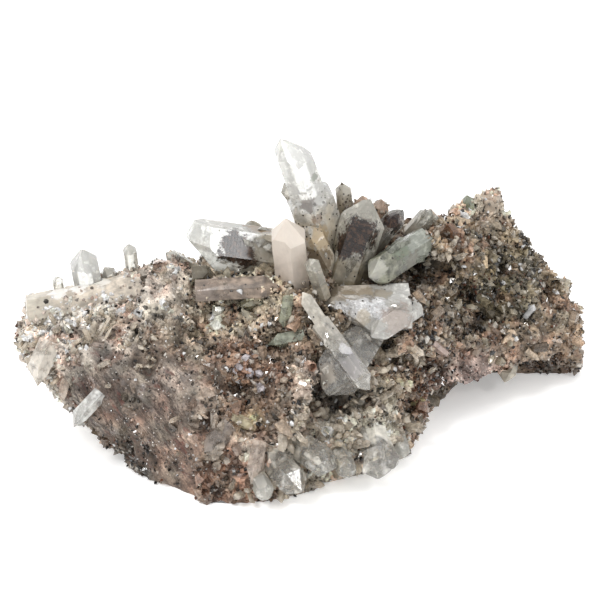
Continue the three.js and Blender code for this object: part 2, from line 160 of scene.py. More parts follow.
# Kinds of grain: the shares of all at which they begin or end, and their colours.
GRAIN_SHADES = (0.5, 1.7)
# Sparkle grains are near-white: painted glints. White grains are partly white quartz, partly painted glints.
SPARKLE_SHARE = 0.02
WHITE_UP_TO = 0.2
WHITEST = 0.75
DARK_FROM = 0.72
RUSTY_FROM = 0.9
BLACK_SHARE = 0.1
SPARKLE = (246, 244, 240)
WHITE_GRAIN_AND_PAINTED_GLINT = (240, 234, 224)
RUSTY_GRAIN = (136, 96, 76)
BLACK_GRAIN = (24, 20, 18)

# Crust blocks: stout points that lie nearly buried.
BLOCK_SEED = 53
BLOCKS = 1900
BLOCK_LENGTH = (2.4, 5.4)
BLOCK_SLIMNESS = (0.45, 0.8)
BLOCK_SHADES = (0.8, 1.7)
BLOCK_LEAN = 0.6
BLOCK_BURIED = 0.68
BLOCK_LOWEST = 0.6

# Dark specks
SPECK_SEED = 23
DARK_SPECKS = 5400
SPECK_LENGTH = (0.35, 1.05)
SPECK_LIFT = (-0.1, 0.45)
SPECK_SLIMNESS = (0.6, 0.95)
SPECK_LEAN = 0.9
SPECK_CLUMP_SPAN = 5.0
BROWN_SHARE = 0.35
BROWN_SPECK = (92, 58, 40)
BLACK_SPECK = (26, 22, 20)


@dataclass
class Region:
    """A part of the crust: its middle, spread in mm, colour, and how thick druse and specks are."""

    at: tuple
    spread: float
    colour: tuple
    druse: float = 1.0
    specks: float = 0.4
    strength: float = 1.0


# A middle is a pixel of the photograph, or three numbers: a place in mm.
CRUST_COLOUR = (136, 122, 104)
# Regions in pits, hollows, the cave, the cleft, a corner and under the wing are dark with painted shade.
REGIONS = {
    "pink druse of the left wing": Region((80, 325), 10.5, (255, 244, 231), 1.0, 0.4, 1.8),
    "beige side of the slab": Region((80, 300), 7, (196, 184, 168), 0.6, 0.2),
    "glassy left tip": Region((34, 366), 8, (204, 190, 174), 0.6, 0.1),
    # Painted shade in the left wing's pit.
    "painted shade in the left wing's pit": Region((100, 359), 3, (30, 19, 13), 0.6, 0.3, 2.6),
    "upper vein rock": Region((88, 386), 7, (92, 78, 68), 0.1, 0.02, 3.0),
    "middle vein rock": Region((128, 406), 10, (104, 90, 80), 0.06, 0.02, 1.8),
    "lower vein rock": Region((170, 455), 9, (122, 106, 94), 0.08, 0.02, 1.6),
    # Painted shade in a corner.
    "painted shade of a corner": Region((136, 458), 6, (64, 54, 44), 1.0, 1.0, 1.2),
    "pale rib": Region((164, 282), 7, (216, 204, 192), 0.3, 0.02, 2.2),
    # Painted shade, deepest in the same pit.
    "deepest painted shade of the wing's pit": Region((101, 357), 2.0, (18, 10, 6), 0.1, 0.1, 4.0),
    "rust streak above it": Region((118, 322), 2.0, (146, 104, 78), 0.6, 0.6, 2.0),
    # Painted shade in a small hollow of the flank.
    "painted shade in the flank's small hollow": Region((175, 411), 1.8, (26, 18, 13), 0.1, 0.1, 4.0),
    "rib's grey shoulder": Region((186, 312), 7, (156, 146, 130), 0.6, 0.2),
    "ochre face of the rib": Region((157, 338), 6, (120, 96, 75), 0.8, 0.3, 1.2),
    "blue-grey flank": Region((176, 380), 7, (136, 126, 117), 0.1, 0.02, 1.4),
    "valley behind the shield": Region((228, 308), 9, (232, 216, 190), 1.0, 1.2, 1.8),
    "red-brown top of the shield": Region((240, 352), 9, (124, 94, 76), 1.0, 0.4, 1.2),
    "middle of the shield": Region((245, 392), 11, (134, 110, 92), 1.0, 0.5),
    "pale left rim of the shield": Region((190, 400), 5, (206, 186, 170), 0.8, 0.1, 1.2),
    "pale right ridge": Region((311, 372), 5, (214, 196, 180), 0.7, 0.1, 1.2),
    "ochre spot": Region((250, 424), 2.6, (214, 196, 150), 0.9, 0.1, 1.2),
    "red-brown foot": Region((222, 478), 8, (146, 113, 95), 0.9, 0.2, 1.2),
    "white lump of the foot": Region((252, 448), 4, (222, 206, 192), 0.4, 0.05, 1.2),
    # Painted shade: the cave is near black in paint.
    "cave": Region((325, 398), 6, (26, 18, 13), 0.7, 0.3, 2.4),
    "grey druse under the cave": Region((352, 430), 10, (228, 219, 202), 1.0, 0.6, 1.3),
    "grey druse beside the needle": Region((392, 378), 8, (168, 154, 134), 1.0, 0.4),
    "rust patch": Region((428, 386), 6, (116, 82, 64), 0.9, 1.4, 1.4),
    "dark spotted druse": Region((425, 305), 7, (118, 100, 82), 1.0, 1.6),
    # Painted shade in the cleft.
    "painted shade in the cleft": Region((420, 264), 5, (44, 36, 26), 0.8, 0.6, 1.8),
    "olive druse": Region((500, 285), 12, (82, 78, 56), 1.0, 1.4, 1.2),
    "warm upper wing": Region((480, 238), 11, (164, 144, 120), 1.0, 0.4),
    "grey middle of the wing": Region((475, 335), 10, (152, 137, 118), 1.0, 1.2),
    "wing's far end": Region((560, 312), 9, (158, 142, 122), 0.9, 0.2),
    "smooth pink lower edge": Region((475, 376), 6, (178, 156, 150), 0.03, 0.02, 2.4),
    "smooth lower rim": Region((530, 354), 6, (156, 134, 116), 0.2, 0.05, 1.4),
    # Painted shade under the overhanging wing.
    "painted shade of the underside": Region((545, 367), 4, (70, 58, 48), 0.9, 0.4, 1.6),
    "orange end": Region((572, 338), 5, (168, 140, 116), 0.6, 0.05),
    # Its own brown, darkened by painted shade in the hollow.
    "brown hollow below the peak, with painted shade": Region((492, 212), 2.2, (104, 62, 40), 0.9, 0.3, 2.6),
    "pale crust of the peak": Region((48.5, 30, 45), 6, (212, 198, 180), 1.0, 0.3, 1.4),
    "brown crust of the shoulder": Region((15.5, 12, 50), 5, (186, 150, 122), 1.0, 0.6, 1.4),
    "speckled top": Region((9.5, 13.5, 53), 5, (206, 198, 182), 1.0, 2.0, 1.4),
    "pale druse of the back": Region((-22, 34, 14), 13, (196, 182, 166), 1.0, 0.6),
    "bare vein of the back": Region((32, 38, 8), 11, (120, 104, 94), 0.08, 0.02, 1.6),
    # Painted shade in a hollow of the back.
    "painted shade in the back's hollow": Region((-2, 38, 10), 7, (78, 64, 52), 0.9, 0.5, 1.4),
    "rusty corner of the back": Region((50, 34, 12), 8, (142, 112, 92), 0.9, 0.3, 1.2),
    "greenish slope of the back": Region((-6, 28, 32), 9, (118, 114, 94), 1.0, 0.8, 1.2),
    "bare left of the back": Region((-48, 18, 8), 9, (132, 116, 104), 0.1, 0.02, 1.4),
    "pale slope behind the wing": Region((22, 30, 32), 8, (186, 170, 152), 1.0, 0.3, 1.2),
}


SMALL_COLOUR = (232, 220, 202)


@dataclass
class Bunch:
    """Small quartz points that stand together: where, how many, their size, and which way they lean."""

    at: tuple
    spread: float
    count: int
    length: tuple
    slimness: tuple = (0.3, 0.5)
    lean: tuple = (0.0, 0.0, 0.0)
    colour: tuple = SMALL_COLOUR


BUNCHES = {
    "all over the left wing": Bunch((75, 335), 13, 60, (2.2, 4.4)),
    "streaks by the pit": Bunch((96, 342), 3.5, 12, (4.5, 7), (0.16, 0.24), (0.9, 0.2, 0.5)),
    "glassy left tip": Bunch((40, 370), 6, 16, (2.2, 4.2), (0.6, 0.8), (-0.4, -0.6, 0.2), (226, 218, 206)),
    "on the left crest": Bunch((110, 292), 12, 26, (1.8, 3.6), (0.45, 0.7), (0.0, 0.0, 0.9)),
    "ribs' foot": Bunch((150, 350), 7, 20, (2, 3.6)),
    "valley": Bunch((235, 300), 8, 26, (2, 4), (0.5, 0.7), (0.0, 0.0, 0.3), (214, 206, 186)),
    "lilac sparkles": Bunch((245, 368), 3.5, 12, (2, 3.8), (0.5, 0.7), (0.0, -0.4, 0.2), (240, 232, 236)),
    "shield": Bunch((240, 400), 13, 34, (1.6, 3.0), (0.5, 0.7), (0, 0, 0), (206, 190, 172)),
    "pale flakes of the foot": Bunch((212, 445), 6, 9, (4, 7), (0.3, 0.45), (0.8, -0.3, 0.6), (214, 200, 184)),
    "under the cave": Bunch((338, 424), 8, 56, (3, 6.5), (0.28, 0.42), (0.1, -0.5, 0.2)),
    "front foot": Bunch((300, 466), 11, 48, (3, 6), (0.35, 0.5), (0.1, -0.5, 0.15)),
    "foot's left": Bunch((252, 485), 5, 14, (3, 6), (0.35, 0.5), (0.2, -0.7, 0.1)),
    "beside the needle": Bunch((392, 365), 8, 50, (2.5, 5.5), (0.3, 0.45), (0.2, -0.4, 0.4)),
    "under the rust patch": Bunch((385, 440), 8, 34, (2.5, 5), (0.4, 0.6), (0.2, -0.5, 0.0)),
    "wing": Bunch((480, 300), 22, 90, (1.8, 3.6), (0.5, 0.75), (0, 0, 0), (196, 184, 162)),
    "wing's crest": Bunch((480, 210), 14, 40, (1.8, 3.4), (0.5, 0.75), (0.1, 0.0, 0.6)),
    "by the flat-faced point": Bunch((300, 285), 6, 24, (2.4, 4.5), (0.4, 0.6), (0.0, -0.2, 0.5)),
    "between the tall ones": Bunch((345, 240), 9, 36, (2.2, 5), (0.4, 0.6), (0, -0.1, 0.7), (222, 208, 186)),
    "right of the cleft": Bunch((440, 250), 6, 24, (2.2, 4.2), (0.4, 0.55), (-0.3, -0.2, 0.5)),
    "spray on the back": Bunch((12, 40, 18), 8, 46, (3, 7), (0.3, 0.5), (0.1, 0.5, 0.3)),
    "foot of the back's left": Bunch((-24, 34, 8), 8, 40, (2.5, 6), (0.35, 0.55), (-0.2, 0.5, 0.1)),
    "back's corner": Bunch((48, 36, 8), 7, 36, (2.5, 5.5), (0.35, 0.55), (0.4, 0.4, 0.1)),
    "under the back's right point": Bunch((29.5, 35, 22), 3.5, 40, (3, 6), (0.5, 0.8), (0, 0.3, -0.2)),
    "upper back": Bunch((-10, 24, 38), 8, 30, (2.2, 4.4), (0.45, 0.65), (0, 0.2, 0.6)),
    "left of the back": Bunch((-44, 20, 18), 8, 30, (2.2, 5), (0.35, 0.6), (-0.3, 0.3, 0.3)),
}
BUNCH_SEED = 37
BUNCH_LEAN = 0.35
BUNCH_ROOTED = 0.8
STRAY_POINTS = 180
STRAY_LENGTH = (1.8, 3.4)
STRAY_SLIMNESS = (0.45, 0.7)
STRAY_LEAN = 0.4
POINT_SHADES = (0.75, 1.1)


@dataclass
class Single:
    """One small crystal: the pixels of its root and tip, its width in mm, and how much nearer the tip is."""

    root: tuple
    tip: tuple
    width: float
    colour: tuple
    nearer: float = 2.0


SINGLE_ROOTED = 1.5
FARTHEST_TIP = 16
SINGLES = {
    "pale green crystal": Single((260, 304), (302, 288), 3.8, (206, 214, 198), 0.0),
    "deep green stub": Single((287, 303), (284, 326), 3.6, (176, 178, 156), 2.6),
    "greenish crystal below it": Single((298, 337), (267, 343), 3.6, (192, 196, 178)),
    "olive crystal in the valley": Single((262, 300), (240, 306), 3.0, (178, 172, 146)),
    "glassy point under the wing": Single((96, 398), (72, 424), 5.6, (244, 244, 240)),
    "glassy bulge of the left tip": Single((47, 348), (33, 384), 7.6, (240, 232, 220)),
    "small point under the tip": Single((66, 384), (62, 400), 3.2, (222, 206, 190)),
    "grey lump of the shield's foot": Single((224, 430), (204, 452), 6.5, (170, 158, 148)),
    "pale slab of the foot": Single((259, 448), (251, 484), 5.0, (220, 204, 190)),
    "pale flake of the shield": Single((236, 420), (256, 428), 3.4, (224, 212, 180)),
    "white needle by the flat face": Single((401, 323), (416, 308), 1.5, (226, 220, 208)),
    "pink plate under the wing": Single((434, 344), (448, 356), 2.8, (196, 172, 160)),
    "yellow needle": Single((410, 405), (425, 398), 2.0, (214, 204, 160)),
    "white facet of the wing": Single((528, 312), (534, 304), 2.6, (236, 236, 236)),
}

# Offshoots: small points that grow on a larger one, nearly along it.
OFFSHOOTS = {
    "tall_clear_point": 10,
    "phantom_point": 8,
    "milky_point": 4,
    "green_point": 9,
    "flat_faced_point": 12,
    "grey_point": 6,
    "broad_clear_point": 12,
    "ridge_point": 6,
    "foot_slab_point": 6,
    "foot_front_point": 5,
    "foot_clear_point": 6,
    "shoulder_point": 6,
    "speckled_point": 3,
    "slab_crystal": 4,
    "smoky_point": 3,
    "pale_point": 3,
}
OFFSHOOT_SEED = 71
OFFSHOOT_LENGTH = (2.5, 6.5)
OFFSHOOT_SLIMNESS = (0.35, 0.55)
OFFSHOOT_SHADES = (0.8, 1.05)
OFFSHOOT_ROOTED = 0.3
OFFSHOOT_SPLAY = 0.22
OFFSHOOT_LEAN = 0.16
HIGHEST_OFFSHOOT = 0.7
LOWEST_OFFSHOOT = 4


@dataclass
class Stain:
    """Colour inside a crystal: the pixel where it is seen, its radius and depth in mm, and its strength.

    flecks is how much of its flecks shows, and the last field how much of it glitters like foil: painted
    reflections, as a crack inside quartz shows.
    """

    pixel: tuple
    radius: float
    colour: tuple
    strength: float = 1.0
    depth: float = 1.0
    flecks: float = 0.08
    painted_glint_share: float = 0.0


FLECK_COLOUR = (116, 88, 70)
SPRAYED_FROM = 0.3
# Scales of painted reflection, where a stain glitters like foil.
PAINTED_REFLECTION_BRIGHT = (253, 253, 253)
PAINTED_REFLECTION_DULL = (104, 100, 96)


@dataclass
class Look:
    """A crystal: its clear and cloudy colours, and how far up from the root cloud reaches.

    haze is how cloudy the clear part is, specks how many black ones it holds, mottle how uneven its colour is.
    """

    clear: tuple
    cloud: tuple
    cloud_reach: float
    haze: float
    roughness: float
    specks: float = 0.0
    stains: tuple = ()
    mottle: float = 0.3


PINKISH = (208, 196, 184)
LOOKS = {
    "tall_clear_point": Look((255, 255, 251), (204, 194, 176), 0.46, 0.45, 0.04, 1.2, (
        Stain((281, 145), 1.8, (200, 200, 188), 0.7, 0.5),
        Stain((314, 177), 1.2, (66, 82, 56), 0.7, 0.4, 0.4),
        Stain((308, 204), 2.2, (58, 38, 28), 0.75, 0.5, 0.5),
        Stain((317, 219), 1.6, (100, 64, 44), 0.6, 0.5, 0.4),
        Stain((322, 238), 4.0, (182, 158, 118), 0.7, 1.0, 0.3),
        Stain((318, 258), 4.0, (116, 100, 78), 0.8, 1.0, 0.25),
    ), 0.22),
    "speckled_point": Look((206, 200, 186), (186, 174, 156), 0.9, 0.6, 0.2, 2.2),
    "phantom_point": Look((226, 222, 210), (134, 124, 104), 0.5, 0.45, 0.06, 0.3, (
        Stain((360, 235), 5.4, (22, 11, 9), 1.0, 0.8, 0.36),
        Stain((346, 246), 3.6, (28, 15, 11), 1.0, 0.8, 0.36),
        Stain((366, 212), 2.6, (206, 203, 192), 0.45),
    ), 0.4),
    "shoulder_point": Look((206, 180, 158), (180, 150, 126), 0.8, 0.5, 0.15, 0.6),
    "smoky_point": Look((212, 208, 200), (112, 104, 92), 0.3, 0.3, 0.05, 0.0, (
        Stain((393, 222), 3.0, (30, 16, 14), 1.0, 0.6, 0.35),
    )),
    "pale_point": Look((232, 230, 220), (170, 162, 148), 0.5, 0.35, 0.06),
    "green_point": Look((198, 202, 190), (146, 146, 128), 0.5, 0.5, 0.1, 0.4, (
        Stain((398, 250), 3.6, (98, 112, 90), 0.75, 0.5, 0.4),
        Stain((375, 268), 3.2, (206, 204, 196), 0.5, 0.5),
        Stain((412, 262), 3.0, (98, 92, 76), 0.7, 0.5, 0.3),
    ), 0.7),
    "flat_faced_point": Look((236, 234, 228), (190, 180, 166), 0.45, 0.5, 0.04, 0.1, (
        Stain((332, 291), 3.0, (104, 92, 74), 0.8, 0.3, 0.2),
        Stain((350, 295), 2.4, (132, 120, 100), 0.85, 0.2, 0.2),
        Stain((366, 294), 2.6, (148, 136, 116), 0.85, 0.2, 0.2),
        Stain((382, 294), 2.4, (138, 128, 110), 0.8, 0.2, 0.2),
        # Grey-white patches that glitter like foil: painted reflections on the flat face.
        Stain((340, 312), 3.6, (206, 206, 208), 0.8, 0.2, 0.0, 1.0),
        Stain((360, 309), 3.6, (206, 206, 208), 0.8, 0.2, 0.0, 1.0),
        Stain((378, 309), 3.2, (206, 206, 208), 0.8, 0.2, 0.0, 1.0),
        Stain((363, 318), 2.2, (208, 194, 168), 0.6, 0.2, 0.4),
        Stain((398, 320), 4.6, (192, 172, 160), 0.6, 0.2, 0.4),
    )),
    "grey_point": Look((238, 235, 228), (220, 213, 200), 0.38, 0.3, 0.07, 0.05, (
        # Foil-like glitter: painted reflection.
        Stain((346, 350), 1.8, (224, 222, 228), 0.6, 0.2, 0.0, 0.7),
        Stain((350, 366), 3.6, (208, 203, 211), 0.4, 0.2),
        Stain((325, 376), 3.4, (190, 178, 160), 0.5, 0.4, 0.2),
    ), 0.4),
    "milky_point": Look((218, 207, 195), PINKISH, 0.7, 0.9, 0.22, 0.0, (), 0.1),
    "little_clear_point": Look((230, 226, 214), (186, 176, 158), 0.35, 0.35, 0.05),
    "broad_clear_point": Look((246, 246, 240), (190, 182, 166), 0.4, 0.45, 0.04, 0.3, (
        Stain((235, 247), 4.8, (24, 15, 12), 1.0, 0.6, 0.34),
        Stain((247, 257), 3.4, (44, 30, 23), 1.0, 0.6, 0.34),
        Stain((257, 229), 3.6, (112, 90, 62), 0.85, 0.5, 0.2),
        Stain((263, 251), 3.0, (156, 151, 138), 0.8, 0.6, 0.2),
    )),
    "ridge_point": Look((186, 168, 154), (156, 138, 122), 0.9, 0.55, 0.12, 0.2, (), 0.6),
    "smoky_stub": Look((150, 142, 126), (118, 108, 92), 0.6, 0.5, 0.08, 0.2),
    "slab_crystal": Look((236, 228, 212), (224, 212, 196), 0.9, 0.65, 0.16, 0.1, (
        # Near-white along the slab's top edge: painted highlight.
        Stain((58, 292), 2.4, (252, 250, 246), 0.8, 0.2),
        Stain((78, 288), 2.4, (252, 250, 246), 0.8, 0.2),
        Stain((100, 280), 2.4, (244, 240, 232), 0.8, 0.2),
    ), 0.4),
    "ledge_crystal": Look((220, 210, 194), (212, 194, 178), 0.8, 0.6, 0.16),
    "rim_nub": Look((212, 202, 180), (190, 176, 150), 0.8, 0.5, 0.14),
    "rim_low_nub": Look((176, 170, 146), (150, 140, 116), 0.8, 0.5, 0.14),
    "green_nib": Look((196, 202, 180), (160, 164, 138), 0.8, 0.4, 0.14),
    "peak_point": Look((212, 198, 180), (196, 178, 158), 0.9, 0.6, 0.2, 0.3),
    "foot_slab_point": Look((252, 249, 241), (234, 227, 213), 0.4, 0.25, 0.05),
    "foot_front_point": Look((251, 247, 238), (232, 224, 209), 0.4, 0.25, 0.05),
    "foot_small_point": Look((251, 249, 242), (230, 224, 210), 0.4, 0.25, 0.05),
    "foot_clear_point": Look((252, 250, 245), (233, 228, 216), 0.4, 0.25, 0.05),
    "left_broad_point": Look((255, 255, 251), (250, 248, 240), 0.2, 0.4, 0.05),
    "left_slim_point": Look((254, 253, 246), (246, 242, 230), 0.2, 0.4, 0.05),
}
PLAIN_LOOK = Look((240, 238, 230), (204, 196, 180), 0.45, 0.4, 0.05)

# Quartz
QUARTZ_IOR = 1.544
CLOUD_EDGE = 0.22
CLOUD_COVER = 0.85
COVERED_TRANSMISSION = 0.1
COVERED_ROUGHER = 0.2
GLOW = 0.25
GLOW_SHARES = (1.0, 0.95, 0.9)
GLOW_DEPTH = 0.7 * MM
CRYSTAL_WELD = 0.002 * MM
EDGE_WIDTH = 0.12 * MM
EDGE_STEPS = 2
EDGE_ANGLE = math.radians(15)


def linear(colour):
    """An sRGB colour, 0 to 255, as linear light."""
    shares = np.asarray(colour, float) / 255
    return np.where(shares <= 0.04045, shares / 12.92, ((shares + 0.055) / 1.055) ** 2.4)


def ray_through(pixel):
    """The direction from the eye through a pixel of the photograph."""
    across = (pixel[0] - IMAGE_SIDE / 2) * PIXEL
    up = (IMAGE_SIDE / 2 - pixel[1]) * PIXEL
    return (CAMERA_AWAY * VIEW + Vector((across, 0, 0)) + up * VIEW_UP).normalized()


def seen_on(tree, pixel):
    """The place in mm where the surface shows at that pixel, or the nearest place on it."""
    direction = ray_through(pixel)
    place = tree.ray_cast(EYE, direction)[0]
    if place is None:
        place = tree.find_nearest(EYE + direction * CAMERA_AWAY)[0]
    return np.array(place) / MM


def found_on(tree, at):
    """The place in mm on the surface for a pixel of the photograph, or nearest to a place in mm."""
    if len(at) == 2:
        return seen_on(tree, at)
    return np.array(tree.find_nearest(Vector(at) * MM)[0]) / MM


def smoothstep(low, high, value):
    share = np.clip((value - low) / (high - low), 0, 1)
    return share * share * (3 - 2 * share)


def between(limits, shares):
    return limits[0] + (limits[1] - limits[0]) * shares


def unit(vectors):
    return vectors / np.maximum(np.linalg.norm(vectors, axis=-1, keepdims=True), 1e-9)


def noise_at(places, span, shift=(0, 0, 0)):
    """Noise from -1 to 1 at places in mm, with features about span across."""
    return np.array([noise.noise(Vector(place) / span + Vector(shift)) for place in places])


# Meshes
def vertex_places(mesh):
    """A mesh's points, in mm."""
    places = np.empty(len(mesh.vertices) * 3)
    mesh.vertices.foreach_get("co", places)
    return places.reshape(-1, 3) / MM


def put_places(mesh, places):
    """Moves a mesh's points to places in mm."""
    mesh.vertices.foreach_set("co", (places * MM).ravel())
    mesh.update()


def tree_of(mesh):
    """The mesh's faces, for finding places on them."""
    return BVHTree.FromPolygons([v.co for v in mesh.vertices], [p.vertices for p in mesh.polygons])


def linked(name, data):
    """A new object in the scene."""
    piece = bpy.data.objects.new(name, data)
    bpy.context.scene.collection.objects.link(piece)
    return piece


def weld(piece, distance):
    piece.modifiers.new("weld", "WELD").merge_threshold = distance


def inside_box(places):
    """The places, kept inside the object's own box."""
    low, high = (np.array(corner) / MM for corner in cad_box)
    return np.clip(places, low, high)


def paint(mesh, layer_name, colours):
    """Stores a colour for each point, which the material reads."""
    layer = mesh.color_attributes.new(layer_name, "FLOAT_COLOR", "POINT")
    full = np.concatenate([colours, np.ones((len(colours), 1))], axis=1)
    layer.data.foreach_set("color", full.astype(np.float32).ravel())


def crystals():
    """The named crystals: each one's name and node."""
    return [(name, node) for name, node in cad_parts.items() if name != "rock_matrix"]


# Rock
def remeshed_rock():
    """The rock's solid as an even mesh of small faces."""
    rough = linked("rough_rock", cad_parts["rock_matrix"].data.copy())
    weld(rough, ROCK_WELD)
    remesh = rough.modifiers.new("remesh", "REMESH")
    remesh.mode = "VOXEL"
    remesh.voxel_size = ROCK_VOXEL
    depsgraph = bpy.context.evaluated_depsgraph_get()
    mesh = bpy.data.meshes.new_from_object(rough.evaluated_get(depsgraph))
    bpy.data.objects.remove(rough)
    return mesh


def smoothed(places, mesh):
    """The points, each drawn towards the middle of its neighbours."""
    edges = np.empty(len(mesh.edges) * 2, int)
    mesh.edges.foreach_get("vertices", edges)
    starts, ends = edges.reshape(-1, 2).T
    count = np.bincount(edges, minlength=len(places))[:, None]
    for _ in range(SMOOTHING_ROUNDS):
        total = np.zeros_like(places)
        for axis in range(3):
            total[:, axis] += np.bincount(starts, places[ends, axis], len(places))
            total[:, axis] += np.bincount(ends, places[starts, axis], len(places))
        places = places + SMOOTHING_STEP * (total / count - places)
    return places


def dome(place, kind):
    """How far lumps of a kind stand out at a place: up at their middles, sunken between them."""
    span, height = kind
    nearest = noise.voronoi(Vector(place) / span)[0][0]
    return (max(0.0, 1.0 - DOME_STEEPNESS * nearest) - DOME_MIDDLE) * height


def vein_height(place):
    """Fine ridges and broken steps that run along the vein rock's grain."""
    point = Vector(place)
    across = point - point.dot(VEIN_GRAIN) * VEIN_STRETCH * VEIN_GRAIN
    ridge = noise.noise(across / VEIN_RIDGES[0])
    step = smoothstep(-VEIN_STEP_EDGE, VEIN_STEP_EDGE, noise.noise(across / VEIN_STEPS[0])) - 0.5
    return ridge * VEIN_RIDGES[1] + step * VEIN_STEPS[1]


def pit_at(place):
    """0 on the open crust, up to 1 in the deep of a pit."""
    depth = noise.noise(Vector(place) / PITS[0] + Vector((40, 7, 3))) - PIT_THRESHOLD
    return min(1.0, max(0.0, depth) / PIT_EDGE)


def crust_height(place, druse):
    """How far the rock's surface stands out at a place in mm, with lumps and pits where the druse is thick."""
    point = Vector(place)
    bulge = noise.noise(point / BULGES[0]) * BULGES[1]
    lumps = dome(place, LUMPS)
    fine = noise.noise(point / FINE[0]) * FINE[1]
    crusted = lumps + dome(place, KNOBS) + fine - pit_at(place) * PITS[1]
    bare = vein_height(place) + BARE_LUMPS * lumps + BARE_FINE * fine
    return bulge + druse * crusted + (1 - druse) * bare


def rock_mesh():
    """The rock's surface with its relief, which fades out towards the flat underside."""
    mesh = remeshed_rock()
    places = smoothed(vertex_places(mesh), mesh)
    put_places(mesh, places)
    normals = np.empty(len(mesh.vertices) * 3)
    mesh.vertices.foreach_get("normal", normals)
    place_regions(mesh)
    druse = crust_at(places)[1]
    heights = np.array([crust_height(place, share) for place, share in zip(places, druse)])
    push = normals.reshape(-1, 3) * heights[:, None]
    fade = smoothstep(FLOOR_CLEARANCE, FLOOR_FADE, places[:, 2])
    push[:, 2] *= fade
    low = places[:, 2] < RIM_HEIGHT
    push[low] = smoothed(push, mesh)[low]
    push[:, 2] *= fade
    places = inside_box(places + push)
    places[places[:, 2] < FLOOR_CLEARANCE, 2] = 0
    put_places(mesh, places)
    return mesh


# Regions of the crust
region_places = {}


def place_regions(mesh):
    """Finds where each region's middle lies on the rock."""
    tree = tree_of(mesh)
    for name, region in REGIONS.items():
        region_places[name] = found_on(tree, region.at)


def crust_at(places):
    """Colour, druse and specks of the crust at places in mm, blended from the regions around them."""
    stretch = 1 + REGION_WOBBLE[1] * noise_at(places, REGION_WOBBLE[0])
    colour = np.tile(linear(CRUST_COLOUR), (len(places), 1)) * PLAIN_SHARE
    druse = np.full(len(places), PLAIN_SHARE)
    specks = np.full(len(places), PLAIN_SHARE * PLAIN_SPECKS)
    total = np.full(len(places), PLAIN_SHARE)
    for name, region in REGIONS.items():
        away = np.linalg.norm(places - region_places[name], axis=1) * stretch
        weight = region.strength * np.exp(-((away / region.spread) ** 2)) * 2
        colour += weight[:, None] * linear(region.colour)
        druse += weight * region.druse
        specks += weight * region.specks
        total += weight
    return patchy(colour / total[:, None], places, druse / total), druse / total, specks / total


def patchy(colour, places, druse):
    """The crust's colour with paler and darker patches, rusty and grey-green ones, and painted shade in the
    pits.
    """
    light = noise_at(places, PATCHES[0], (5, 1, 8))
    hue = noise_at(places, TINT_PATCHES[0])
    pits = np.array([pit_at(place) for place in places])
    colour = colour * np.exp(PATCHES[1] * light)[:, None]
    brightness = colour.mean(axis=1, keepdims=True)
    for past_edge, tint in ((hue - TINT_FROM, RUST), (-TINT_FROM - hue, GREY_GREEN)):
        share = np.clip(TINT_PATCHES[1] * np.clip(past_edge, 0, 1), 0, MOST_TINT)[:, None]
        tint = linear(tint)
        colour = (1 - share) * colour + share * brightness * tint / tint.mean()
    # Darker in the pits where the druse is thick: painted shade.
    return colour * (1 - PIT_PAINTED_SHADE * pits * druse)[:, None]


# Places for small crystals
def triangles_of(mesh):
    """The corners of each of the mesh's triangles in mm, and each one's normal and area."""
    mesh.calc_loop_triangles()
    corners = np.empty(len(mesh.loop_triangles) * 3, int)
    mesh.loop_triangles.foreach_get("vertices", corners)
    places = vertex_places(mesh)[corners.reshape(-1, 3)]
    cross = np.cross(places[:, 1] - places[:, 0], places[:, 2] - places[:, 0])
    return places, unit(cross), np.linalg.norm(cross, axis=1) / 2


def scattered(corners, weights, count, random):
    """Random places on triangles, as likely as their weights say, and which triangle each is on."""
    chosen = random.choice(len(corners), count, p=weights / weights.sum())
    a, b = random.random((2, count, 1))
    over = a + b > 1
    a, b = np.where(over, 1 - a, a), np.where(over, 1 - b, b)
    first, second, third = corners[chosen].transpose(1, 0, 2)
    return first + a * (second - first) + b * (third - first), chosen


def crystal_tree():
    """All the named crystals' surfaces, to keep druse out of them."""
    places, faces = [], []
    for _, node in crystals():
        start = len(places)
        places += [v.co.copy() for v in node.data.vertices]
        faces += [[start + k for k in p.vertices] for p in node.data.polygons]
    return BVHTree.FromPolygons(places, faces)


class Crust:
    """The finished rock's triangles in mm, with the druse and specks on each, and the crystals around them."""

    def __init__(self, mesh):
        self.corners, self.normals, self.areas = triangles_of(mesh)
        self.middles = self.corners.mean(axis=1)
        _, self.druse, self.specks = crust_at(self.middles)
        self.tree = tree_of(mesh)
        self.crystal_tree = crystal_tree()

    def above(self, height):
        """Which of the triangles are higher than that."""
        return self.middles[:, 2] > height

    def scattered(self, weights, count, random):
        """Random places on the crust, as likely as their weights say, with the normals there."""
        places, chosen = scattered(self.corners, weights, count, random)
        return places, self.normals[chosen]

    def free(self, places):
        """Which of the places are outside every named crystal."""
        kept = []
        for place in places:
            point = Vector(place) * MM
            nearest, normal, _, _ = self.crystal_tree.find_nearest(point)
            kept.append((point - nearest).dot(normal) > -CLEAR_OF_POINTS * MM)
        return np.array(kept)

    def scattered_free(self, weights, count, random):
        """Random places on the crust outside the named crystals, with the normals there."""
        places, facing = self.scattered(weights, count, random)
        free = self.free(places)
        return places[free], facing[free]


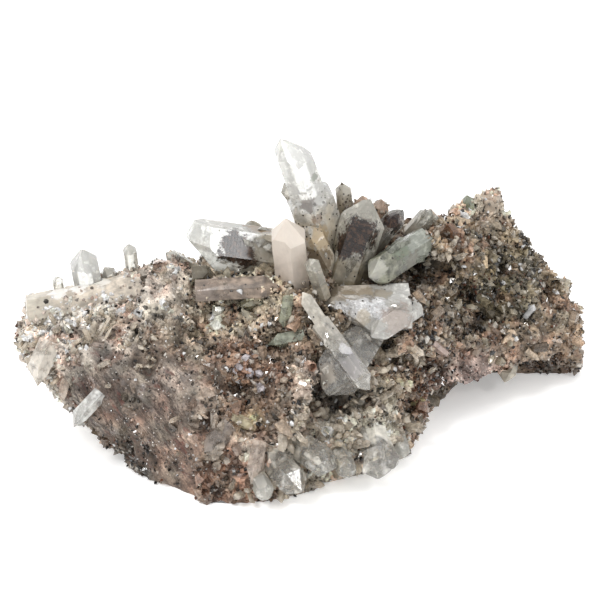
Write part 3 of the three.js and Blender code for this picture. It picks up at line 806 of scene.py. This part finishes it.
# Small crystals
def point_corners(roots, axes, lengths, widths, random, prism):
    """Each small point's corners: six at its root, six at its shoulder if it has a prism, and its tip."""
    count = len(roots)
    helper = np.where(np.abs(axes[:, 2:]) < 0.9, [[0, 0, 1]], [[1, 0, 0]])
    side = unit(np.cross(axes, helper))
    front = np.cross(axes, side)
    turn = random.random(count)[:, None] * math.tau + np.arange(6) * math.tau / 6
    reach = widths[:, None] / 2 * (1 - UNEVEN_SIDES * random.random((count, 6)))
    ring = reach[..., None] * (
        np.cos(turn)[..., None] * side[:, None] + np.sin(turn)[..., None] * front[:, None]
    )
    lower = roots[:, None] + ring
    off = (random.random((count, 2)) - 0.5) * TIP_OFF * widths[:, None]
    tips = roots + axes * lengths[:, None] + off[:, :1] * side + off[:, 1:] * front
    rings = [lower]
    if prism:
        rise = 1 - widths / lengths * RHOMB_RISE
        uneven = UNEVEN_SHOULDER * (random.random((count, 6)) - 0.5)
        shoulder = np.clip(rise[:, None] + uneven, *SHOULDER_LIMITS)
        rings.append(lower + (shoulder * lengths[:, None])[..., None] * axes[:, None])
    return np.concatenate(rings + [tips[:, None]], axis=1)


def points_piece(name, roots, axes, lengths, widths, colours, random, prism=True):
    """Many small quartz points as one piece. Each has six faces at its tip, on six sides if it has a prism."""
    places = point_corners(roots, axes, lengths, widths, random, prism)
    corners = places.shape[1]
    places = inside_box(places.reshape(-1, 3))
    places[:, 2] = np.maximum(places[:, 2], LOWEST_CORNER)
    first = np.arange(len(roots)) * corners
    faces = []
    for k in range(6):
        after = (k + 1) % 6
        if prism:
            faces += np.stack([first + k, first + after, first + 6 + after, first + 6 + k], axis=-1).tolist()
        top = first + corners - 7
        faces += np.stack([top + k, top + after, first + corners - 1], axis=-1).tolist()
    mesh = bpy.data.meshes.new(name)
    mesh.from_pydata((places * MM).tolist(), [], faces)
    paint(mesh, "tone", np.repeat(colours, corners, axis=0))
    return linked(name, mesh)


def leaning(facing, lean, random):
    """Axes near the given directions, each leaning its own way."""
    return unit(facing + lean * random.normal(size=facing.shape))


def grown_sizes(length, slimness, power, count, random):
    """Random lengths, most of them short, and widths to go with them."""
    lengths = between(length, random.random(count) ** power)
    return lengths, lengths * between(slimness, random.random(count))


def joined(parts):
    """Several groups of crystals as one: their roots, axes, lengths, widths and colours."""
    return [np.concatenate(values) for values in zip(*parts)]


def druse_colours(base, specks, random):
    """Each grain's own colour: mostly much like the crust's, some glassy white and partly painted glints, a
    few near-white painted sparkles, rusty, dark or black.
    """
    count = len(base)
    shade = between(GRAIN_SHADES, random.random(count))[:, None]
    kind = random.random(count)[:, None]
    white = WHITEST * random.random((count, 1)) ** 1.6
    # White quartz, and partly painted glints.
    whitened_and_painted_glints = (1 - white) * base + white * linear(WHITE_GRAIN_AND_PAINTED_GLINT)
    colours = np.where(kind < WHITE_UP_TO, whitened_and_painted_glints, base * shade)
    # Near-white sparkle grains: painted glints.
    colours = np.where(kind < SPARKLE_SHARE, linear(SPARKLE), colours)
    colours = np.where(kind > RUSTY_FROM, 0.6 * base + 0.2 * linear(RUSTY_GRAIN), colours)
    colours = np.where((kind > DARK_FROM) & (kind < RUSTY_FROM), 0.25 * base, colours)
    black = random.random(count) < BLACK_SHARE * specks
    colours = np.where(black[:, None], linear(BLACK_GRAIN), colours)
    return np.clip(colours, 0.004, 0.82)


def grains(crust, count, length, slimness, random):
    """Grains on the crust, thicker where the druse is: roots, axes, lengths, widths and colours."""
    clumps = np.clip(1 + 0.8 * noise_at(crust.middles, CLUMP_SPAN), 0.3, 2)
    weights = crust.areas * crust.druse * clumps * crust.above(LOWEST_GRAIN)
    roots, facing = crust.scattered_free(weights, count, random)
    base, thick, specks = crust_at(roots)
    axes = unit(facing + DRUSE_LEAN * random.normal(size=facing.shape) + [0, 0, 0.15])
    lengths = between(length, random.random(len(roots)) ** 1.6) * (0.6 + 0.4 * thick)
    widths = lengths * between(slimness, random.random(len(roots)))
    return roots - axes * DRUSE_ROOT, axes, lengths, widths, druse_colours(base, specks, random)


def foot_grains(crust, random):
    """Grains where the crystals stand in the rock, so that each grows out of the crust."""
    parts = []
    for name, node in crystals():
        corners, normals, areas = triangles_of(node.data)
        parts.append((corners, normals, areas, np.full(len(areas), CRUST_REACHES.get(name, FOOT_REACH))))
    corners, normals, areas, reaches = joined(parts)
    roots, chosen = scattered(corners, areas, FOOT_GRAINS, random)
    away, inside = [], []
    for root in roots:
        nearest, normal, _, distance = crust.tree.find_nearest(Vector(root) * MM)
        away.append(distance / MM)
        inside.append((Vector(root) * MM - nearest).dot(normal) < 0)
    away = np.array(away)
    near = random.random(FOOT_GRAINS) < np.exp(-((away / reaches[chosen]) ** 2))
    kept = near & ~(np.array(inside) & (away > FOOT_DEPTH)) & (roots[:, 2] > LOWEST_GRAIN)
    roots = roots[kept]
    base, _, specks = crust_at(roots)
    axes = leaning(normals[chosen][kept], DRUSE_LEAN, random)
    lengths, widths = grown_sizes(LOW_LENGTH, LOW_SLIMNESS, 1.3, len(roots), random)
    return roots - axes * DRUSE_ROOT, axes, lengths, widths, druse_colours(base * FOOT_PALER, specks, random)


def druse_pieces(crust):
    """The crust's fine grains: the tall ones, and the low ones in pieces from left to right."""
    random = np.random.default_rng(DRUSE_SEED)
    low = grains(crust, LOW_GRAINS, LOW_LENGTH, LOW_SLIMNESS, random)
    low = joined((low, foot_grains(crust, random)))
    tall = grains(crust, TALL_GRAINS, TALL_LENGTH, TALL_SLIMNESS, random)
    pieces = [points_piece("druse_tall", *tall, random)]
    cuts = np.quantile(low[0][:, 0], [1 / 3, 2 / 3])
    band = np.digitize(low[0][:, 0], cuts)
    for k, name in enumerate(("druse_left", "druse_middle", "druse_right")):
        here = [values[band == k] for values in low]
        pieces.append(points_piece(name, *here, random, prism=False))
    return pieces


def block_piece(crust):
    """Stout quartz points that lie nearly buried in the crust, with broad faces in its own colours."""
    random = np.random.default_rng(BLOCK_SEED)
    weights = crust.areas * np.clip(crust.druse, 0.15, 1) * crust.above(LOWEST_POINT)
    roots, facing = crust.scattered_free(weights, BLOCKS, random)
    axes = leaning(facing, BLOCK_LEAN, random)
    lengths, widths = grown_sizes(BLOCK_LENGTH, BLOCK_SLIMNESS, 2, len(roots), random)
    shades = between(BLOCK_SHADES, random.random(len(roots)))[:, None]
    colours = np.clip(crust_at(roots)[0] * shades, 0.01, 0.8)
    roots = roots - axes * (BLOCK_BURIED * lengths)[:, None]
    roots[:, 2] = np.maximum(roots[:, 2], BLOCK_LOWEST)
    return points_piece("crust_blocks", roots, axes, lengths, widths, colours, random)


def speck_piece(crust):
    """Black and dark brown grains that sit in and on the druse."""
    random = np.random.default_rng(SPECK_SEED)
    clumps = np.clip(0.5 + 2.6 * noise_at(crust.middles, SPECK_CLUMP_SPAN, (9, 9, 9)), 0.05, 3)
    weights = crust.areas * crust.specks * clumps * crust.above(LOWEST_GRAIN)
    roots, facing = crust.scattered_free(weights, DARK_SPECKS, random)
    lift = between(SPECK_LIFT, random.random(len(roots)))[:, None]
    axes = leaning(facing, SPECK_LEAN, random)
    lengths, widths = grown_sizes(SPECK_LENGTH, SPECK_SLIMNESS, 1.5, len(roots), random)
    brown = random.random(len(roots))[:, None] < BROWN_SHARE
    colours = np.where(brown, linear(BROWN_SPECK), linear(BLACK_SPECK))
    return points_piece("dark_specks", roots + facing * lift, axes, lengths, widths, colours, random)


def reach_to_tip(rock_tree, single, root):
    """From a single crystal's root to where the rock shows at its tip, or straight across where none shows."""
    tip = rock_tree.ray_cast(EYE, ray_through(single.tip))[0]
    if tip is not None and np.linalg.norm(np.array(tip) / MM - root) < FARTHEST_TIP:
        return np.array(tip) / MM - root
    across = (single.tip[0] - single.root[0]) * PIXEL / MM
    up = (single.root[1] - single.tip[1]) * PIXEL / MM
    return np.array((across, 0, 0)) + up * np.array(VIEW_UP)


def single_points(rock_tree):
    """The crystals that stand by themselves: roots, axes, lengths, widths and colours."""
    roots, axes, lengths = [], [], []
    for single in SINGLES.values():
        root = seen_on(rock_tree, single.root)
        reach = reach_to_tip(rock_tree, single, root) - single.nearer * np.array(VIEW)
        axes.append(unit(reach))
        roots.append(root - SINGLE_ROOTED * axes[-1])
        lengths.append(np.linalg.norm(reach) + SINGLE_ROOTED)
    widths = np.array([single.width for single in SINGLES.values()])
    colours = np.array([linear(single.colour) for single in SINGLES.values()])
    return np.array(roots), np.array(axes), np.array(lengths), widths, colours


def bunch_piece(crust):
    """The middle-sized quartz points: single ones, bunches of them, and strays all over the crust."""
    random = np.random.default_rng(BUNCH_SEED)
    high_enough = crust.above(LOWEST_POINT)
    made = []
    for bunch in BUNCHES.values():
        away = np.linalg.norm(crust.middles - found_on(crust.tree, bunch.at), axis=1)
        weights = crust.areas * np.exp(-((away / bunch.spread) ** 2) * 1.5) * high_enough
        roots, facing = crust.scattered(weights, bunch.count, random)
        axes = leaning(facing + np.array(bunch.lean), BUNCH_LEAN, random)
        made.append((roots, axes, bunch.length, bunch.slimness, bunch.colour))
    roots, facing = crust.scattered(crust.areas * crust.druse * high_enough, STRAY_POINTS, random)
    axes = leaning(facing, STRAY_LEAN, random)
    made.append((roots, axes, STRAY_LENGTH, STRAY_SLIMNESS, SMALL_COLOUR))
    parts = [single_points(crust.tree)]
    for roots, axes, length, slimness, colour in made:
        free = crust.free(roots)
        roots, axes = roots[free], axes[free]
        lengths, widths = grown_sizes(length, slimness, 1.3, len(roots), random)
        shade = between(POINT_SHADES, random.random(len(roots)))[:, None]
        parts.append((roots - axes * BUNCH_ROOTED, axes, lengths, widths, linear(colour) * shade))
    return points_piece("small_points", *joined(parts), random)


def offshoot_piece():
    """Small points on the sides of the larger ones, nearly parallel to them."""
    random = np.random.default_rng(OFFSHOOT_SEED)
    parts = []
    for name, count in OFFSHOOTS.items():
        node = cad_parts[name]
        axis, low, high = long_axis(node)
        corners, normals, areas = triangles_of(node.data)
        share = (corners.mean(axis=1) @ axis - low) / (high - low)
        on_side = np.abs(normals @ axis) < 0.5
        high_enough = corners[:, :, 2].mean(axis=1) > LOWEST_OFFSHOOT
        weights = areas * on_side * (share < HIGHEST_OFFSHOOT) * high_enough
        roots, chosen = scattered(corners, weights, count, random)
        facing = normals[chosen]
        axes = leaning(axis + OFFSHOOT_SPLAY * facing, OFFSHOOT_LEAN, random)
        lengths, widths = grown_sizes(OFFSHOOT_LENGTH, OFFSHOOT_SLIMNESS, 1.4, count, random)
        look = LOOKS.get(name, PLAIN_LOOK)
        tint = 0.5 * linear(look.clear) + 0.5 * linear(look.cloud)
        colours = tint * between(OFFSHOOT_SHADES, random.random(count))[:, None]
        sunk = facing * (OFFSHOOT_ROOTED * widths)[:, None] + axes * (OFFSHOOT_ROOTED * lengths)[:, None]
        parts.append((roots - sunk, axes, lengths, widths, colours))
    return points_piece("offshoots", *joined(parts), random)


# Materials
class Nodes:
    """A new material's node tree, with short ways to add and link nodes."""

    def __init__(self, name):
        self.material = bpy.data.materials.new(name)
        self.material.use_nodes = True
        self.tree = self.material.node_tree
        self.shader = self.tree.nodes["Principled BSDF"]
        self.place = self.add("ShaderNodeTexCoord").outputs["Object"]

    def add(self, kind, values=None, **settings):
        """A node with these settings. values are its inputs: numbers, colours or other nodes' outputs."""
        node = self.tree.nodes.new(kind)
        for key, value in settings.items():
            setattr(node, key, value)
        for key, value in (values or {}).items():
            self.put(node.inputs[key], value)
        return node

    def put(self, socket, value):
        if isinstance(value, bpy.types.NodeSocket):
            self.tree.links.new(value, socket)
        else:
            socket.default_value = value

    def painted(self, layer_name):
        """The colour that is stored in the mesh under that name."""
        return self.add("ShaderNodeVertexColor", layer_name=layer_name).outputs["Color"]

    def math(self, operation, first, second=0.0, clamp=False):
        values = {0: first, 1: second}
        return self.add("ShaderNodeMath", values, operation=operation, use_clamp=clamp).outputs[0]

    def vector(self, operation, first, second, output="Vector"):
        values = {0: first, 1: second}
        return self.add("ShaderNodeVectorMath", values, operation=operation).outputs[output]

    def noise(self, span, detail=3.0, roughness=0.55, place=None):
        """Noise from 0 to 1 with features about span millimetres across."""
        values = {"Scale": 1 / (span * MM), "Detail": detail, "Roughness": roughness}
        values["Vector"] = place or self.place
        return self.add("ShaderNodeTexNoise", values).outputs["Fac"]

    def swing(self, noise, height):
        """Noise that pushes both ways: half of height at most."""
        return self.math("MULTIPLY", self.math("SUBTRACT", noise, 0.5), height)

    def ramp(self, value, low, high, new_low=0.0, new_high=1.0):
        values = {"Value": value, "From Min": low, "From Max": high, "To Min": new_low, "To Max": new_high}
        node = self.add("ShaderNodeMapRange", values, clamp=True, interpolation_type="SMOOTHSTEP")
        return node.outputs["Result"]

    def blend(self, share, first, second):
        """A number between first and second."""
        return self.add("ShaderNodeMix", {0: share, 2: first, 3: second}).outputs[0]

    def times(self, colour, factor):
        """The colour or direction, times a number."""
        return self.add("ShaderNodeVectorMath", {0: colour, "Scale": factor}, operation="SCALE").outputs[0]

    def drawn_out(self, direction, share):
        """Places squeezed along a direction, so that a noise read there is drawn out along it."""
        along = self.vector("DOT_PRODUCT", self.place, tuple(direction), "Value")
        taken = self.times(tuple(direction), self.math("MULTIPLY", along, share))
        return self.vector("SUBTRACT", self.place, taken)

    def mix(self, share, first, second):
        """A colour between first and second, each a colour or an output."""
        node = self.add("ShaderNodeMix", data_type="RGBA")
        self.put(node.inputs[0], share)
        for socket, value in zip((node.inputs[6], node.inputs[7]), (first, second)):
            self.put(socket, value if isinstance(value, bpy.types.NodeSocket) else (*linear(value), 1.0))
        return node.outputs[2]

    def specks(self, spacing, size, share):
        """1 in small spots and 0 around them: spacing and size in mm, share of the cells that hold one."""
        values = {"Scale": 1 / (spacing * MM), "Vector": self.place}
        cells = self.add("ShaderNodeTexVoronoi", values)
        near = self.ramp(cells.outputs["Distance"], size / spacing, 0.6 * size / spacing)
        red = self.add("ShaderNodeSeparateColor", {"Color": cells.outputs["Color"]}).outputs["Red"]
        return self.math("MULTIPLY", near, self.math("LESS_THAN", red, share))

    def bump(self, height, distance, strength=1.0, normal=None):
        values = {"Height": height, "Distance": distance * MM, "Strength": strength}
        if normal is not None:
            values["Normal"] = normal
        return self.add("ShaderNodeBump", values).outputs["Normal"]

    def shade(self, **values):
        """Sets the shader's inputs, named as in Blender with _ for each space."""
        for key, value in values.items():
            self.put(self.shader.inputs[key.replace("_", " ")], value)
        return self.material


def rock_material():
    """Vein rock in its regions' colours. Bare rock is streaked along its grain, with rust veins."""
    nodes = Nodes("vein_rock_crust")
    bare = nodes.painted("bare")
    grain = nodes.drawn_out(VEIN_GRAIN, 0.82)
    mottled = nodes.ramp(nodes.noise(1.5, 6, 0.65), 0.32, 0.68, 0.5, 1.35)
    streaked = nodes.ramp(nodes.noise(1.0, 6, 0.7, grain), 0.32, 0.68, 0.55, 1.55)
    colour = nodes.times(nodes.painted("tone"), nodes.blend(bare, mottled, streaked))
    rust = nodes.ramp(nodes.noise(1.9, 6, 0.65, grain), 0.56, 0.66, 0.0, 0.8)
    rust = nodes.math("MULTIPLY", rust, nodes.math("ADD", 0.35, nodes.math("MULTIPLY", bare, 0.65)))
    colour = nodes.mix(rust, colour, (104, 60, 50))
    grey = nodes.math("MULTIPLY", nodes.ramp(nodes.noise(4.0, 4, 0.6), 0.55, 0.7, 0.0, 0.55), bare)
    colour = nodes.mix(grey, colour, (150, 142, 138))
    bands = nodes.ramp(nodes.noise(3.2, 5, 0.6, grain), 0.34, 0.66, 0.6, 1.35)
    colour = nodes.times(colour, nodes.blend(bare, 1.0, bands))
    for span, width in ((2.4, 0.022), (4.5, 0.014)):
        middle = nodes.math("ABSOLUTE", nodes.math("SUBTRACT", nodes.noise(span, 5, 0.6, grain), 0.5))
        crack = nodes.math("MULTIPLY", nodes.ramp(middle, width, 0.2 * width, 0.0, 0.75), bare)
        colour = nodes.mix(crack, colour, (52, 38, 32))
    pepper = nodes.ramp(nodes.noise(0.42, 3, 0.7), 0.3, 0.7, 0.72, 1.3)
    colour = nodes.times(colour, pepper)
    colour = nodes.mix(nodes.specks(0.8, 0.24, 0.1), colour, MINERAL)
    colour = nodes.mix(nodes.specks(0.6, 0.17, 0.1), colour, (226, 220, 214))
    fine = nodes.bump(nodes.noise(0.35, 4, 0.7), 0.12, 1.0)
    return nodes.shade(
        Base_Color=colour,
        Roughness=nodes.ramp(nodes.noise(0.6, 2), 0.35, 0.65, 0.32, 0.8),
        Normal=nodes.bump(nodes.noise(0.8, 5, 0.6, grain), 0.3, 0.8, fine),
    )


def druse_material():
    """Small quartz grains: translucent, with their own colours and a glassy surface."""
    nodes = Nodes("druse")
    cloud = nodes.ramp(nodes.noise(0.9, 3), 0.38, 0.64, 0.7, 1.15)
    return nodes.shade(
        Base_Color=nodes.times(nodes.painted("tone"), cloud),
        Roughness=0.12,
        IOR=QUARTZ_IOR,
        Transmission_Weight=0.12,
        Specular_IOR_Level=0.7,
    )


def block_material():
    """Stout buried points: cloudier in patches, clear enough to look deep."""
    nodes = Nodes("block_quartz")
    cloud = nodes.ramp(nodes.noise(1.6, 5, 0.65), 0.36, 0.66)
    shades = nodes.ramp(nodes.noise(0.7, 4, 0.65), 0.3, 0.7, 0.75, 1.25)
    return nodes.shade(
        Base_Color=nodes.times(nodes.painted("tone"), shades),
        Roughness=nodes.ramp(cloud, 0.0, 1.0, 0.1, 0.28),
        IOR=QUARTZ_IOR,
        Transmission_Weight=nodes.ramp(cloud, 0.0, 1.0, 0.55, 0.1),
        Normal=nodes.bump(nodes.noise(0.5, 3), 0.05, 0.5),
    )


def small_point_material():
    """Middle-sized points: clearer than the druse, with faint clouds."""
    nodes = Nodes("small_quartz")
    cloud = nodes.ramp(nodes.noise(2.6, 4, 0.6), 0.36, 0.64)
    shades = nodes.ramp(nodes.noise(1.2, 4, 0.6), 0.3, 0.7, 0.85, 1.1)
    return nodes.shade(
        Base_Color=nodes.times(nodes.painted("tone"), shades),
        Roughness=nodes.ramp(cloud, 0.0, 1.0, 0.05, 0.16),
        IOR=QUARTZ_IOR,
        Transmission_Weight=nodes.ramp(cloud, 0.0, 1.0, 0.72, 0.38),
    )


def speck_material():
    nodes = Nodes("dark_specks")
    return nodes.shade(Base_Color=nodes.painted("tone"), Roughness=0.3)


def long_axis(node):
    """A crystal's long axis, from its root in the rock to its tip, and where the two are along it in mm."""
    places = vertex_places(node.data)
    middle = places.mean(axis=0)
    axis = np.linalg.svd(places - middle)[2][0]
    rock_low, rock_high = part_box("rock_matrix")
    outward = middle - np.array((rock_low + rock_high) / 2) / MM
    if axis @ outward < 0:
        axis = -axis
    along = places @ axis
    return axis, along.min(), along.max()


def stained(nodes, colour, covered, node, look, fibrous):
    """The crystal's colour and cover with its stains: torn patches, with flecks in them and specks around, and
    painted reflections in those that glitter.
    """
    tree = tree_of(node.data)
    torn = nodes.swing(nodes.noise(2.0, 8, 0.7), 1.9)
    frayed = nodes.swing(nodes.noise(0.7, 5, 0.7, fibrous), 1.3)
    edge = nodes.math("ADD", torn, frayed)
    flecks = nodes.ramp(nodes.noise(1.2, 5, 0.75), 0.46, 0.62)
    spray = nodes.specks(0.8, 0.26, 0.35)
    for stain in look.stains:
        radius = stain.radius * MM
        middle = seen_on(tree, stain.pixel) + np.array(ray_through(stain.pixel)) * stain.depth
        away = nodes.vector("DISTANCE", nodes.place, tuple(middle * MM), "Value")
        frayed_away = nodes.math("ADD", away, nodes.math("MULTIPLY", edge, radius))
        share = nodes.ramp(frayed_away, 1.05 * radius, 0.72 * radius, 0.0, stain.strength)
        if stain.flecks > SPRAYED_FROM:
            around = nodes.ramp(away, 1.9 * radius, 1.1 * radius, 0.0, 0.9 * stain.strength)
            share = nodes.math("MAXIMUM", share, nodes.math("MULTIPLY", spray, around))
        tint = nodes.mix(nodes.math("MULTIPLY", flecks, stain.flecks), stain.colour, FLECK_COLOUR)
        colour = nodes.mix(share, colour, tint)
        covered = nodes.math("MAXIMUM", covered, share, clamp=True)
        # Painted reflections: white and dull scales where the stain glitters.
        if stain.painted_glint_share:
            colour = with_painted_reflections(nodes, colour, nodes.math("MULTIPLY", share, stain.painted_glint_share))
    return colour, covered


def with_painted_reflections(nodes, colour, zone):
    """The colour with painted reflections where the zone is: white and dull scales, as a crack inside quartz
    shows.
    """
    bright = nodes.ramp(nodes.noise(1.0, 6, 0.8), 0.5, 0.56)
    dull = nodes.ramp(nodes.noise(0.9, 6, 0.8), 0.56, 0.61, 0.0, 0.85)
    colour = nodes.mix(nodes.math("MULTIPLY", bright, zone), colour, PAINTED_REFLECTION_BRIGHT)
    return nodes.mix(nodes.math("MULTIPLY", dull, zone), colour, PAINTED_REFLECTION_DULL)


def crystal_material(name, node, look):
    """Quartz as this point shows it: clear towards the tip, cloudy at the root, finely ridged and stained."""
    nodes = Nodes(name + "_quartz")
    axis, root, tip = long_axis(node)
    along = nodes.vector("DOT_PRODUCT", nodes.place, tuple(axis / MM), "Value")
    height = nodes.ramp(along, root, tip)
    fibrous = nodes.drawn_out(axis, 0.85)
    reach = nodes.math("ADD", height, nodes.swing(nodes.noise(3.4, 5), 0.9))
    rooted = nodes.ramp(reach, look.cloud_reach + CLOUD_EDGE, look.cloud_reach - CLOUD_EDGE)
    veils = nodes.ramp(nodes.noise(2.2, 6, 0.65), 0.5, 0.72, look.haze, look.haze + 0.3)
    colour = nodes.mix(rooted, look.clear, look.cloud)
    mottle = look.mottle
    patches = nodes.ramp(nodes.noise(2.4, 6, 0.62), 0.34, 0.66, 1 - mottle, 1 + 0.4 * mottle)
    colour = nodes.times(colour, nodes.blend(rooted, 1.0, patches))
    streaks = nodes.ramp(nodes.noise(0.9, 5, 0.65, fibrous), 0.3, 0.7, 1 - 0.45 * mottle, 1 + 0.1 * mottle)
    colour = nodes.times(colour, streaks)
    covered = nodes.math("MAXIMUM", nodes.math("MULTIPLY", rooted, CLOUD_COVER), veils, clamp=True)
    if look.stains:
        colour, covered = stained(nodes, colour, covered, node, look, fibrous)
    if look.specks:
        fine = nodes.specks(0.9, 0.3, 0.22 * look.specks)
        spots = nodes.math("MAXIMUM", nodes.specks(1.9, 0.5, 0.22 * look.specks), fine)
        spots = nodes.math("MULTIPLY", spots, nodes.ramp(reach, look.cloud_reach + 0.4, look.cloud_reach))
        colour = nodes.mix(spots, colour, MINERAL)
        covered = nodes.math("MAXIMUM", covered, spots, clamp=True)
    slices = nodes.add("ShaderNodeCombineXYZ", {"X": along}).outputs[0]
    ridges = nodes.add("ShaderNodeTexNoise", {"Vector": slices, "Scale": 2.2, "Detail": 2.0}).outputs["Fac"]
    return nodes.shade(
        Base_Color=colour,
        Roughness=nodes.ramp(covered, 0.0, 1.0, look.roughness, look.roughness + COVERED_ROUGHER),
        IOR=QUARTZ_IOR,
        Transmission_Weight=nodes.ramp(covered, 0.0, 1.0, 1.0, COVERED_TRANSMISSION),
        Subsurface_Weight=GLOW,
        Subsurface_Radius=GLOW_SHARES,
        Subsurface_Scale=GLOW_DEPTH,
        Normal=nodes.bump(nodes.noise(1.4, 3), 0.03, 0.3, nodes.bump(ridges, 0.05, 0.5)),
    )


# Dressing
def dress_crystals():
    """Gives each named crystal its own quartz, and softens its edges a little."""
    for name, node in crystals():
        node.data.materials.clear()
        node.data.materials.append(crystal_material(name, node, LOOKS.get(name, PLAIN_LOOK)))
        weld(node, CRYSTAL_WELD)
        bevel = node.modifiers.new("bevel", "BEVEL")
        bevel.width = EDGE_WIDTH
        bevel.segments = EDGE_STEPS
        bevel.limit_method = "ANGLE"
        bevel.angle_limit = EDGE_ANGLE


def dress_rock():
    """The rock with its crust, in place of the plain solid."""
    mesh = rock_mesh()
    colour, druse, _ = crust_at(vertex_places(mesh))
    paint(mesh, "tone", colour)
    paint(mesh, "bare", np.repeat(smoothstep(0.55, 0.25, druse)[:, None], 3, axis=1))
    mesh.materials.clear()
    mesh.materials.append(rock_material())
    mesh.shade_smooth()
    rock = linked("crusted_rock", mesh)
    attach(rock, "root")
    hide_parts("rock_matrix")
    return rock


def dress_crust(rock):
    """Grains, buried points, specks and small points on the rock."""
    crust = Crust(rock.data)
    grain_finish = druse_material()
    pieces = [(piece, grain_finish) for piece in druse_pieces(crust)]
    pieces.append((block_piece(crust), block_material()))
    for piece, finish in pieces:
        piece.data.materials.append(finish)
        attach(piece, "root")
    specks = speck_piece(crust)
    specks.data.materials.append(speck_material())
    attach(specks, "root")
    small_finish = small_point_material()
    for points in (bunch_piece(crust), offshoot_piece()):
        points.data.materials.append(small_finish)
        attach(points, "root")


# Stage
def make_floor():
    mesh = bpy.data.meshes.new("floor")
    corners = [(x * FLOOR_REACH, y * FLOOR_REACH, 0) for x, y in ((-1, -1), (1, -1), (1, 1), (-1, 1))]
    mesh.from_pydata(corners, [], [(0, 1, 2, 3)])
    mesh.materials.append(Nodes("white_floor").shade(
        Base_Color=(0.93, 0.93, 0.925, 1), Roughness=0.9, Emission_Color=(1, 1, 1, 1), Emission_Strength=0.3,
    ))
    linked("floor", mesh)


def turned(piece, place, direction):
    """Puts a lamp or camera at a place in metres and points it in a direction."""
    piece.location = place
    piece.rotation_mode = "QUATERNION"
    piece.rotation_quaternion = direction.to_track_quat("-Z", "Y")


def make_lamps():
    """Soft square lamps that shine at the cluster."""
    for name, (place, size, power) in LAMPS.items():
        lamp = bpy.data.lights.new(name, "AREA")
        lamp.size = size
        lamp.energy = power
        turned(linked(name, lamp), place, LOOK_AT - Vector(place))


def make_world():
    """A pale studio: bright overhead and behind, darker low down on the camera's side."""
    world = bpy.data.worlds.new("studio")
    bpy.context.scene.world = world
    world.use_nodes = True
    tree = world.node_tree
    coordinates = tree.nodes.new("ShaderNodeTexCoord")
    lean = tree.nodes.new("ShaderNodeVectorMath")
    lean.operation = "DOT_PRODUCT"
    lean.inputs[1].default_value = WORLD_BRIGHT_SIDE
    ramp = tree.nodes.new("ShaderNodeValToRGB")
    dark, bright = ramp.color_ramp.elements
    dark.color = (WORLD_DARKEST, WORLD_DARKEST, WORLD_DARKEST, 1)
    bright.position = WORLD_BRIGHT_FROM
    bright.color = (1, 1, 1, 1)
    tree.links.new(coordinates.outputs["Generated"], lean.inputs[0])
    tree.links.new(lean.outputs["Value"], ramp.inputs[0])
    background = tree.nodes["Background"]
    tree.links.new(ramp.outputs[0], background.inputs["Color"])
    background.inputs["Strength"].default_value = WORLD_STRENGTH


def make_camera():
    data = bpy.data.cameras.new("camera")
    data.sensor_width = SENSOR
    data.lens = SENSOR * CAMERA_AWAY / (PIXEL * IMAGE_SIDE)
    data.clip_start = 0.01
    camera = linked("camera", data)
    turned(camera, EYE, VIEW)
    bpy.context.scene.camera = camera


def make_stage():
    make_floor()
    make_world()
    make_lamps()
    make_camera()
    view = bpy.context.scene.view_settings
    view.view_transform = "Standard"
    view.look = "None"


make_stage()
dress_crystals()
dress_crust(dress_rock())
